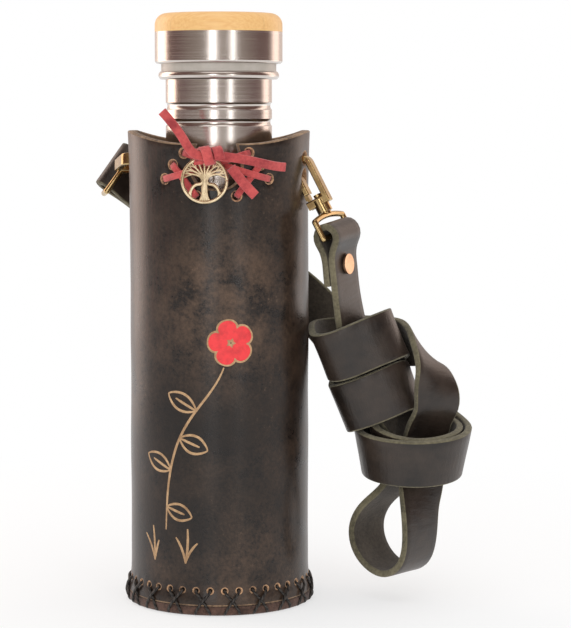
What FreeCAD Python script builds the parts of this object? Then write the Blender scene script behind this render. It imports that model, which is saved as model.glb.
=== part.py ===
import FreeCAD, Part
import math
import os

Vec = FreeCAD.Vector

# Sleeve: a rolled leather tube standing on a leather base disc. Millimetres, +Z up, front towards -Y.
LEATHER = 3.2
SLEEVE_R = 39.0
SLEEVE_IN_R = SLEEVE_R - LEATHER
BASE_LEDGE = 1.6
BASE_R = SLEEVE_R + BASE_LEDGE
BASE_T = 4.0
FLARE_LOW = 1.4
FLARE_LOW_H = 14.0
FLARE_TOP = 0.7
FLARE_TOP_H = 30.0
RIM_Z = 206.0
RIM_DIP_Z = 201.0
RIM_DIP_HALF = 38.0
RIM_FLAT_HALF = 12.0
SEAM_GAP = 0.4

# Laced opening at the front of the rim.
OPENING_TOP_HALF = 7.0
OPENING_LOW_HALF = 13.5
OPENING_LOW_Z = 182.0
OPENING_CORNER = 9.0
LACE_HOLE_R = 1.8
LACE_HOLES = ((13.6, 197.0), (18.4, 192.0), (22.0, 186.0), (8.5, 179.0))

# Lace.
LACE_W = 4.2
LACE_T = 1.5
LACE_TAIL_W = 3.8
LACE_CROSS_W = 2.8
LACE_OFF = 0.95
KNOT_OUT = 9.9
KNOT_MID = Vec(-2.6, -SLEEVE_R - KNOT_OUT, 196.1)
KNOT_R = 3.2
KNOT_PITCH = 4.9
KNOT_TURNS = 1.75

# Stitching cords.
STITCH_R = 0.6
BASE_STITCHES = 20
BASE_STITCH_TURN = 4.5
BASE_STITCH_TOP_Z = 10.0
BASE_STITCH_LOW_Z = 1.6
BACK_STITCHES = 22
BACK_STITCH_FROM_Z = 16.0
BACK_STITCH_STEP = 8.0
BACK_STITCH_HALF = 4.0

# Snap hooks: local x along the hook, y across its loop, z through its thickness.
HOOK_LOOP_R = 3.6
HOOK_HALF_T = 1.3
HOOK_HALF_W = 2.6
HOOK_CORNER = 0.6
HOOK_HOLE_ROOM = 0.5
HOOK_STANDS_OUT = 0.9
HOOK_NOSE = 12.0
HOOK_NOSE_ROOM = 1.0
HOOK_BASE_FROM = 15.0
HOOK_BASE_TO = 18.6
HOOK_BASE_LIP = 1.6
HOOK_FORK = 2.4
HOOK_FORK_TOP = -2.0
HOOK_BARREL_TO = 22.0
HOOK_BARREL_R = 3.3
RIGHT_HOOK_TURN = 72.0
RIGHT_HOOK_Z = 190.6
RIGHT_HOOK_LEAN = 62.0
LEFT_HOOK_TURN = 95.0
LEFT_HOOK_Z = 193.0
LEFT_HOOK_LEAN = 72.0
LEFT_HOOK_DROP = 10.0
GATE_PIN = (16.8, -3.9)
GATE_PIN_R = 0.6
GATE_RUN = 0.05
GATE_TIP_GAP = 0.15
GATE_UNDER_PIN = 0.9
GATE_OVER_PIN = 0.7
GATE_W = 2.0
GATE_HEAD_L = 2.3
GATE_HEAD_W = 4.4
GATE_KNUCKLE_R = 1.3
GATE_RIDGES = 3
GATE_RIDGE_R = 0.3
GATE_RIDGE_STEP = 0.7
GATE_RIDGE_FROM = 0.4
EYE_POST_R = 1.2
EYE_RUN = 0.05
EYE_BAR_X = 33.0
EYE_SHOULDER_X = 25.0
EYE_TOP_X = 23.4
EYE_HEAD_R = 1.7
EYE_HEAD_FROM = 13.6
EYE_HEAD_T = 1.2
EYE_COLLAR_R = 2.4
EYE_COLLAR_GAP = 0.2
EYE_POST_OVER = 0.6
EYE_HALF = 13.0
EYE_WIRE_R = 1.3

# Strap.
STRAP_W = 22.0
STRAP_T = 3.0
FOLD_R = 4.6
PLY_GAP = 0.2
RIVET_DOWN = 12.8
RIVET_R = 1.4
RIVET_HEAD_R = 4.4
RIVET_HEAD_T = 1.3
RIGHT_BAR_DIR = Vec(0.466, 0.880, 0.091)
RIGHT_RUN_DIR = Vec(0.100, 0.045, -0.994)
LEFT_BAR_DIR = Vec(0.550, 0.266, 0.791)
LEFT_RUN_DIR = Vec(0.770, 0.203, -0.604)
WRAP_OUT = 20.2
WRAP_Y = -11.0
WRAP_Z = 112.9
WRAP_DOWN = Vec(0.372, 0.06, -0.928)
WRAP_SIDE = Vec(0.928, 0, 0.372)
RING_OUT = 46.2
RING_Y = -5.0
RING_Z = 66.5
RING_AXIS = Vec(0, -0.174, 0.985)
RING_FRONT = Vec(0, -0.985, -0.174)
RING_CUP = 10.0

# Bottle.
BOTTLE_ROOM = 3.5
BOTTLE_R = SLEEVE_IN_R - BOTTLE_ROOM
BOTTLE_WALL = 0.8
BOTTLE_FOOT_Z = 4.0
BOTTLE_FOOT_IN = 4.3
BOTTLE_FOOT_R = BOTTLE_R - BOTTLE_FOOT_IN
BOTTLE_HEEL = 4.5
HEEL_BEND = 1.3
HEEL_BEND_IN = 1.2
HEEL_BEND_UP = 2.0
SHOULDER_LOW_Z = 150.0
SHOULDER_TOP_Z = 181.0
SHOULDER_BEND_IN = 0.174
SHOULDER_BEND_UP = 0.274
NECK_R = 23.1
NECK_GROOVE = 0.7
NECK_GROOVES_Z = (209.5, 216.5)
NECK_GROOVE_HALF = 1.6
LIP_OUT = 3.1
LIP_R = NECK_R + LIP_OUT
LIP_ROLL = 1.0
LIP_LOW_Z = 228.0
LIP_T = 3.5
LIP_TOP_Z = LIP_LOW_Z + LIP_T

# Screw cap.
GASKET_SET_IN = 1.2
GASKET_R = LIP_R - GASKET_SET_IN
GASKET_RUN = 0.1
GASKET_T = 3.3
CAP_SHELL_H = 13.7
CAP_TOP_T = 8.0
CAP_LOW_Z = LIP_TOP_Z + GASKET_T
CAP_SEAM_Z = CAP_LOW_Z + CAP_SHELL_H
CAP_TOP_Z = CAP_SEAM_Z + CAP_TOP_T
CAP_OVER = 1.5
CAP_R = LIP_R + CAP_OVER
CAP_WALL = 1.7
CAP_PLATE = 1.2
CAP_EDGE = 1.2
CAP_TOP_EDGE = 5.0
PLUG_RUN = 0.3
PLUG_DEEP = 14.5
PLUG_LOW_Z = LIP_TOP_Z - PLUG_DEEP
PLUG_WALL = 3.0
PLUG_EDGE = 1.0

# Charm.
CHARM_R = 10.0
CHARM_T = 1.6
CHARM_RIM = 1.5
CHARM_X = -4.8
CHARM_OUT = 2.9
CHARM_Y = -SLEEVE_R - CHARM_OUT
CHARM_Z = 185.8
CHARM_LUG_R = 1.6
CHARM_LUG_UP = 9.5
CHARM_LUG_HOLE_R = 0.95
JUMP_R = 2.2
JUMP_WIRE_R = 0.45
CHARM_CORD_R = 0.9
CHARM_CORD_HALF = 3.5


def save(shape, name):
    """Write one piece to its own file."""
    shape.exportStep("parts/" + name + ".step")


def turned(start, *segments):
    """Solid turned about Z from an (r, z) outline; a pair of points in a segment is an arc."""
    edges = []
    here = Vec(start[0], 0, start[1])
    first = here
    for segment in segments:
        if isinstance(segment[0], tuple):
            middle = Vec(segment[0][0], 0, segment[0][1])
            there = Vec(segment[1][0], 0, segment[1][1])
            edges.append(Part.Arc(here, middle, there).toShape())
        else:
            there = Vec(segment[0], 0, segment[1])
            edges.append(Part.makeLine(here, there))
        here = there
    edges.append(Part.makeLine(here, first))
    face = Part.Face(Part.Wire(edges))
    return face.revolve(Vec(0, 0, 0), Vec(0, 0, 1), 360)


def rod(start, end, radius):
    """Round bar between two points."""
    run = end - start
    return Part.makeCylinder(radius, run.Length, start, run)


def fused(shapes):
    """One clean solid out of overlapping shapes."""
    return shapes[0].multiFuse(shapes[1:]).removeSplitter()


def route(stations):
    """Smooth centre line and width direction through (x, y, z, width direction) stations."""
    points = [Vec(*station[0:3]) for station in stations]
    widths = [Vec(*station[3:6]).normalize() for station in stations]
    lengths = [0.0]
    for before, after in zip(points, points[1:]):
        lengths.append(lengths[-1] + (after - before).Length)
    centre = Part.BSplineCurve()
    centre.interpolate(Points=points, Parameters=lengths)
    edge = Part.BSplineCurve()
    edge.interpolate(Points=[point + width for point, width in zip(points, widths)], Parameters=lengths)
    return centre, edge, lengths


def section(path, place, width, thick):
    """Four corners of the strip's cross-section at one place along its route."""
    centre, edge = path[0:2]
    middle = centre.value(place)
    along = Vec(*centre.tangent(place)[0]).normalize()
    side = edge.value(place) - middle
    side = (side - along * side.dot(along)).normalize()
    face = along.cross(side)
    half_side = side * (width / 2)
    half_face = face * (thick / 2)
    return (
        middle - half_side - half_face,
        middle + half_side - half_face,
        middle + half_side + half_face,
        middle - half_side + half_face,
    )


def strip(path, start, end, width, thick, step):
    """Solid flat strip along a route between two places on it."""
    count = max(3, int(math.ceil((end - start) / step)))
    places = [start + (end - start) * i / count for i in range(count + 1)]
    rows = [section(path, place, width, thick) for place in places]
    corners = []
    for corner in range(4):
        curve = Part.BSplineCurve()
        curve.interpolate(Points=[row[corner] for row in rows], Parameters=places)
        corners.append(curve.toShape())
    faces = [Part.makeRuledSurface(corners[i], corners[(i + 1) % 4], 1) for i in range(4)]
    for row in (rows[0], rows[-1]):
        faces.append(Part.Face(Part.makePolygon(list(row) + [row[0]])))
    shell = Part.makeShell(faces)
    shell.sewShape()
    solid = Part.makeSolid(shell)
    if solid.Volume < 0:
        solid.reverse()
    return solid


def front_spot(x, z, out):
    """Point on the front of the sleeve, a distance out from its face."""
    radius = SLEEVE_R + out
    return Vec(x, -math.sqrt(radius * radius - x * x), z)


def hook_axes(side):
    """Loop centre and the three local axes of one hook; side is 1 on the right and -1 on the left."""
    turn = math.radians(RIGHT_HOOK_TURN if side > 0 else LEFT_HOOK_TURN)
    out = Vec(side * math.sin(turn), -math.cos(turn), 0)
    back = Vec(side * math.cos(turn), math.sin(turn), 0)
    wall_mid = SLEEVE_R - LEATHER / 2 + HOOK_STANDS_OUT
    if side > 0:
        second = Vec(0, 0, 1)
        lean = math.radians(RIGHT_HOOK_LEAN)
        height = RIGHT_HOOK_Z
    else:
        drop = math.radians(LEFT_HOOK_DROP)
        second = Vec(0, 0, math.sin(drop)) - back * math.cos(drop)
        lean = math.radians(LEFT_HOOK_LEAN)
        height = LEFT_HOOK_Z
    origin = out * wall_mid + Vec(0, 0, height)
    along = out * math.cos(lean) - second * math.sin(lean)
    across = out * math.sin(lean) + second * math.cos(lean)
    return origin, along, across, along.cross(across)


def put(shape, axes):
    """Place a shape drawn in hook axes."""
    origin, along, across, through = axes
    matrix = FreeCAD.Matrix(
        along.x, across.x, through.x, origin.x,
        along.y, across.y, through.y, origin.y,
        along.z, across.z, through.z, origin.z,
        0, 0, 0, 1,
    )
    placed = shape.copy()
    placed.Placement = FreeCAD.Placement(matrix)
    return placed


def hook_band(half_t, half_w, nose):
    """Bent flat bar of the hook, from its foot along the spine and round the loop to its nose."""
    outer = HOOK_LOOP_R + half_t
    inner = HOOK_LOOP_R - half_t
    spine = HOOK_BASE_FROM + half_t
    edges = [
        Part.makeLine(Vec(spine, outer, -half_w), Vec(0, outer, -half_w)),
        Part.Arc(Vec(0, outer, -half_w), Vec(-outer, 0, -half_w), Vec(0, -outer, -half_w)).toShape(),
        Part.makeLine(Vec(0, -outer, -half_w), Vec(nose, -outer, -half_w)),
        Part.makeLine(Vec(nose, -outer, -half_w), Vec(nose, -inner, -half_w)),
        Part.makeLine(Vec(nose, -inner, -half_w), Vec(0, -inner, -half_w)),
        Part.Arc(Vec(0, -inner, -half_w), Vec(-inner, 0, -half_w), Vec(0, inner, -half_w)).toShape(),
        Part.makeLine(Vec(0, inner, -half_w), Vec(spine, inner, -half_w)),
        Part.makeLine(Vec(spine, inner, -half_w), Vec(spine, outer, -half_w)),
    ]
    band = Part.Face(Part.Wire(edges)).extrude(Vec(0, 0, 2 * half_w))
    rims = [edge for edge in band.Edges if abs(edge.Vertexes[0].Z - edge.Vertexes[-1].Z) < half_w]
    return band.makeFillet(HOOK_CORNER, rims)


def hook_body():
    """Cast body: flat bow and spine, forked foot and swivel barrel."""
    foot_side = GATE_PIN[1] - HOOK_BASE_LIP
    foot_top = HOOK_LOOP_R + HOOK_HALF_T
    foot = Part.makeBox(
        HOOK_BASE_TO - HOOK_BASE_FROM, foot_top - foot_side, 2 * HOOK_HALF_W,
        Vec(HOOK_BASE_FROM, foot_side, -HOOK_HALF_W),
    )
    barrel = rod(Vec(HOOK_BASE_FROM + 1, 0, 0), Vec(HOOK_BARREL_TO, 0, 0), HOOK_BARREL_R)
    foot = foot.makeFillet(HOOK_CORNER, [edge for edge in foot.Edges if edge.Vertexes[0].Y > 0])
    body = fused([hook_band(HOOK_HALF_T, HOOK_HALF_W, HOOK_NOSE), foot, barrel])
    bore = rod(Vec(HOOK_BASE_FROM - 1, 0, 0), Vec(HOOK_BARREL_TO + 1, 0, 0), EYE_POST_R + EYE_RUN)
    fork = Part.makeBox(
        HOOK_BASE_TO - HOOK_BASE_FROM + 1, HOOK_FORK_TOP - foot_side + 1, HOOK_FORK,
        Vec(HOOK_BASE_FROM - 0.5, foot_side - 1, -HOOK_FORK / 2),
    )
    pin_hole = rod(
        Vec(GATE_PIN[0], GATE_PIN[1], -HOOK_HALF_W - 1),
        Vec(GATE_PIN[0], GATE_PIN[1], HOOK_HALF_W + 1),
        GATE_PIN_R,
    )
    return body.cut(bore).cut(fork).cut(pin_hole)


def hook_gate():
    """Spring gate: a tongue on the pin with a ridged thumb face."""
    tip = HOOK_NOSE + GATE_TIP_GAP
    low = GATE_PIN[1] - GATE_UNDER_PIN
    thick = GATE_UNDER_PIN + GATE_OVER_PIN
    tang = Part.makeBox(GATE_PIN[0] - tip, thick, GATE_W, Vec(tip, low, -GATE_W / 2))
    head = Part.makeBox(GATE_HEAD_L, thick, GATE_HEAD_W, Vec(tip, low, -GATE_HEAD_W / 2))
    knuckle = rod(
        Vec(GATE_PIN[0], GATE_PIN[1], -GATE_W / 2), Vec(GATE_PIN[0], GATE_PIN[1], GATE_W / 2), GATE_KNUCKLE_R
    )
    ridges = []
    for i in range(GATE_RIDGES):
        place = tip + GATE_RIDGE_FROM + GATE_RIDGE_STEP * i
        half = GATE_HEAD_W / 2 - 0.2
        ridges.append(rod(Vec(place, low, -half), Vec(place, low, half), GATE_RIDGE_R))
    gate = fused([tang, head, knuckle] + ridges)
    hole = rod(
        Vec(GATE_PIN[0], GATE_PIN[1], -GATE_W), Vec(GATE_PIN[0], GATE_PIN[1], GATE_W), GATE_PIN_R + GATE_RUN
    )
    return gate.cut(hole)


def gate_pin():
    """Pin through the fork and the gate."""
    return rod(
        Vec(GATE_PIN[0], GATE_PIN[1], -HOOK_HALF_W), Vec(GATE_PIN[0], GATE_PIN[1], HOOK_HALF_W), GATE_PIN_R
    )


def bar_centre(axes):
    """Middle of the eye's straight bar."""
    return axes[0] + axes[1] * EYE_BAR_X


def swivel_eye(axes, bar):
    """Headed post with a square-shouldered wire ring for the strap."""
    origin, along = axes[0], axes[1]
    head_top = origin + along * EYE_HEAD_FROM
    head_foot = origin + along * (EYE_HEAD_FROM + EYE_HEAD_T)
    top = origin + along * EYE_TOP_X
    head = rod(head_top, head_foot, EYE_HEAD_R)
    post = rod(head_top, top + along * EYE_POST_OVER, EYE_POST_R)
    collar = rod(origin + along * (HOOK_BARREL_TO + EYE_COLLAR_GAP), top, EYE_COLLAR_R)
    low_a = origin + along * EYE_BAR_X - bar * EYE_HALF
    low_b = origin + along * EYE_BAR_X + bar * EYE_HALF
    high_a = origin + along * EYE_SHOULDER_X - bar * EYE_HALF
    high_b = origin + along * EYE_SHOULDER_X + bar * EYE_HALF
    arch = Part.Wire([Part.Arc(high_a, top, high_b).toShape()])
    start_dir = arch.Edges[0].tangentAt(arch.Edges[0].FirstParameter)
    profile = Part.Wire([Part.makeCircle(EYE_WIRE_R, high_a, start_dir)])
    crown = arch.makePipeShell([profile], True, False)
    pieces = [post, head, collar, crown, rod(low_a, low_b, EYE_WIRE_R)]
    pieces += [rod(low_a, high_a, EYE_WIRE_R), rod(low_b, high_b, EYE_WIRE_R)]
    pieces += [Part.makeSphere(EYE_WIRE_R, corner) for corner in (low_a, low_b, high_a, high_b)]
    return fused(pieces)


def hook_set(side, name, bar):
    """All the pieces of one hook."""
    axes = hook_axes(side)
    save(put(hook_body(), axes), name + "_hook_body")
    save(put(hook_gate(), axes), name + "_hook_gate")
    save(put(gate_pin(), axes), name + "_gate_pin")
    save(swivel_eye(axes, bar), name + "_swivel_eye")


def rim_scoop(reach):
    """Block that dips the rim at the front and the back: flat in the middle, an arc up to each side."""
    rise = RIM_Z - RIM_DIP_Z
    run = RIM_DIP_HALF - RIM_FLAT_HALF
    bend = (run ** 2 + rise ** 2) / (2 * rise)
    half_turn = math.asin(run / bend) / 2
    feet, tops, arcs = [], [], []
    for sign in (-1, 1):
        foot = Vec(sign * RIM_FLAT_HALF, -reach, RIM_DIP_Z)
        middle = foot + Vec(sign * bend * math.sin(half_turn), 0, bend * (1 - math.cos(half_turn)))
        top = Vec(sign * RIM_DIP_HALF, -reach, RIM_Z)
        arcs.append(Part.Arc(foot, middle, top).toShape())
        feet.append(foot)
        tops.append(top)
    lift = Vec(0, 0, reach)
    edges = arcs + [
        Part.makeLine(feet[0], feet[1]),
        Part.makeLine(tops[1], tops[1] + lift),
        Part.makeLine(tops[1] + lift, tops[0] + lift),
        Part.makeLine(tops[0] + lift, tops[0]),
    ]
    outline = Part.Wire(Part.sortEdges(edges)[0])
    return Part.Face(outline).extrude(Vec(0, reach * 2, 0))


def sleeve():
    """Leather tube with dipped rim, laced opening, back seam, and holes for lace and hooks."""
    inner = SLEEVE_IN_R
    tube = turned(
        (SLEEVE_R + FLARE_LOW, BASE_T),
        ((SLEEVE_R + FLARE_LOW * 0.3, BASE_T + FLARE_LOW_H * 0.45), (SLEEVE_R, BASE_T + FLARE_LOW_H)),
        (SLEEVE_R, RIM_Z - FLARE_TOP_H),
        ((SLEEVE_R + FLARE_TOP * 0.3, RIM_Z - FLARE_TOP_H * 0.45), (SLEEVE_R + FLARE_TOP, RIM_Z)),
        (inner + FLARE_TOP, RIM_Z),
        ((inner + FLARE_TOP * 0.3, RIM_Z - FLARE_TOP_H * 0.45), (inner, RIM_Z - FLARE_TOP_H)),
        (inner, BASE_T + FLARE_LOW_H),
        ((inner + FLARE_LOW * 0.3, BASE_T + FLARE_LOW_H * 0.45), (inner + FLARE_LOW, BASE_T)),
    )
    reach = SLEEVE_R * 2
    tube = tube.cut(rim_scoop(reach))
    corners = [
        Vec(-OPENING_TOP_HALF, -reach, RIM_Z + 1),
        Vec(-OPENING_LOW_HALF, -reach, OPENING_LOW_Z),
        Vec(OPENING_LOW_HALF, -reach, OPENING_LOW_Z),
        Vec(OPENING_TOP_HALF, -reach, RIM_Z + 1),
    ]
    block = Part.Face(Part.makePolygon(corners + [corners[0]])).extrude(Vec(0, reach, 0))
    low_edges = [
        edge for edge in block.Edges
        if abs(edge.Vertexes[0].Z - OPENING_LOW_Z) < 0.01
        and abs(edge.Vertexes[1].Z - OPENING_LOW_Z) < 0.01
        and abs(edge.Vertexes[0].Y - edge.Vertexes[1].Y) > 1
    ]
    tube = tube.cut(block.makeFillet(OPENING_CORNER, low_edges))
    seam = Part.makeBox(SEAM_GAP, reach, RIM_Z + 2, Vec(-SEAM_GAP / 2, 0, -1))
    tube = tube.cut(seam)
    for hole_x, hole_z in LACE_HOLES:
        for sign in (-1, 1):
            spot = front_spot(sign * hole_x, hole_z, LACE_OFF)
            inward = Vec(-spot.x, -spot.y, 0).normalize()
            tube = tube.cut(rod(spot - inward * LEATHER, spot + inward * LEATHER * 3, LACE_HOLE_R))
    for side in (-1, 1):
        room = hook_band(HOOK_HALF_T + HOOK_HOLE_ROOM, HOOK_HALF_W + HOOK_HOLE_ROOM, HOOK_NOSE + HOOK_NOSE_ROOM)
        tube = tube.cut(put(room, hook_axes(side)))
    return tube


def base_disc():
    """Leather base with rubbed round edges."""
    disc = Part.makeCylinder(BASE_R, BASE_T)
    rims = [edge for edge in disc.Edges if edge.Closed]
    return disc.makeFillet(1.2, rims)


def base_stitching():
    """Crossed cords over the joint of sleeve and base, each cross one piece."""
    crosses = []
    for i in range(BASE_STITCHES):
        middle = 360.0 * (i + 0.5) / BASE_STITCHES
        arms = []
        for sign in (-1, 1):
            top_a = math.radians(middle - sign * BASE_STITCH_TURN)
            low_a = math.radians(middle + sign * BASE_STITCH_TURN)
            top_r = SLEEVE_R + FLARE_LOW * 0.55 + STITCH_R + 0.4
            low_r = BASE_R + STITCH_R + 0.3
            top = Vec(top_r * math.cos(top_a), top_r * math.sin(top_a), BASE_STITCH_TOP_Z)
            low = Vec(low_r * math.cos(low_a), low_r * math.sin(low_a), BASE_STITCH_LOW_Z)
            arms.append(rod(top, low, STITCH_R))
        crosses.append(fused(arms))
    return Part.makeCompound(crosses)


def back_stitching():
    """Cords drawn across the back seam."""
    cords = []
    for i in range(BACK_STITCHES):
        height = BACK_STITCH_FROM_Z + BACK_STITCH_STEP * i
        depth = SLEEVE_R + STITCH_R + 0.05
        cords.append(
            rod(Vec(-BACK_STITCH_HALF, depth, height), Vec(BACK_STITCH_HALF, depth, height), STITCH_R)
        )
    return Part.makeCompound(cords)


def lace_strip(stations, width):
    """Lace through (x, y, z, width direction) stations."""
    path = route(stations)
    return strip(path, 0.0, path[2][-1], width, LACE_T, 1.2)


def lace_crossing(start, end, humps):
    """One stretch of lace on the sleeve's face, with a peg through the hole at each end."""
    places = [(0.0, LACE_OFF)] + list(humps) + [(1.0, LACE_OFF)]
    points = []
    for share, out in places:
        x = start[0] + (end[0] - start[0]) * share
        points.append(front_spot(x, start[1] + (end[1] - start[1]) * share, out))
    run = (points[-1] - points[0]).normalize()
    stations = []
    for point in points:
        across = run.cross(Vec(point.x, point.y, 0))
        stations.append((point.x, point.y, point.z, across.x, across.y, across.z))
    band = lace_strip(stations, LACE_CROSS_W)
    pegs = []
    for point in (points[0], points[-1]):
        inward = Vec(-point.x, -point.y, 0).normalize()
        reach = LEATHER + LACE_OFF + 0.4
        pegs.append(rod(point - inward * 0.25, point + inward * reach, LACE_CROSS_W / 2 - 0.07))
    return fused([band] + pegs)


def lace_crossings():
    """Two diagonals that cross in the opening, each passing over a short stretch at the side."""
    top, second, third, low = LACE_HOLES
    stretches = []
    for sign, middle in ((1, -1.5), (-1, 0.35)):
        side_humps = ((0.3, LACE_OFF), (0.7, LACE_OFF))
        stretches.append(
            lace_crossing((sign * low[0], low[1]), (sign * second[0], second[1]), side_humps)
        )
        long_humps = ((0.1, 1.9), (0.19, 2.8), (0.3, 2.0), (0.42, 0.9), (0.62, middle), (0.84, 1.1))
        stretches.append(
            lace_crossing((sign * third[0], third[1]), (-sign * top[0], top[1]), long_humps)
        )
    return Part.makeCompound(stretches)


def lace_knot():
    """Turns of the knot, wound sideways round the tail that passes through it."""
    count = int(KNOT_TURNS * 12)
    stations = []
    for i in range(count + 1):
        turn = i / 12.0
        angle = math.radians(360.0 * turn + 200.0)
        x = KNOT_MID.x + KNOT_PITCH * (turn - KNOT_TURNS / 2)
        y = KNOT_MID.y - KNOT_R * math.sin(angle)
        z = KNOT_MID.z + KNOT_R * math.cos(angle)
        stations.append((x, y, z, 1.0, 0.0, 0.0))
    return lace_strip(stations, LACE_W)


def before(rows):
    """Stations given by their distance out from the sleeve's front."""
    return [(row[0], -SLEEVE_R - row[1]) + row[2:] for row in rows]


def lace_long_tail():
    """One length of lace: up-left tail, through the knot, out to the right."""
    return lace_strip(
        before([
            (-22.4, 3.4, 214.4, 0.75, 0.05, 0.66),
            (-17.6, 5.0, 208.8, 0.75, 0.05, 0.66),
            (-13.4, 7.6, 203.0, 0.72, 0.1, 0.69),
            (-11.0, 9.2, 199.2, 0.55, 0.15, 0.82),
            (-8.6, 9.9, 196.8, 0.3, 0.2, 0.93),
            (KNOT_MID.x, KNOT_OUT, KNOT_MID.z, 0.05, 0.25, 0.97),
            (3.6, 9.9, 195.8, 0.05, 0.15, 0.98),
            (9.0, 8.2, 195.0, 0.1, 0.0, 1.0),
            (16.0, 4.4, 193.6, 0.06, -0.2, 0.97),
            (22.6, -0.4, 192.0, 0.05, -0.4, 0.9),
            (28.6, -6.0, 191.0, 0.05, -0.1, 1.0),
        ]),
        LACE_TAIL_W,
    )


def lace_low_tail():
    """Short tail that hangs down to the right of the charm."""
    return lace_strip(
        before([
            (6.4, 9.0, 191.3, 0.72, 0.0, 0.69),
            (9.4, 7.2, 187.3, 0.74, 0.05, 0.67),
            (12.6, 4.8, 183.4, 0.75, 0.1, 0.66),
            (16.2, 2.2, 179.4, 0.75, 0.15, 0.65),
        ]),
        LACE_W,
    )


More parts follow.
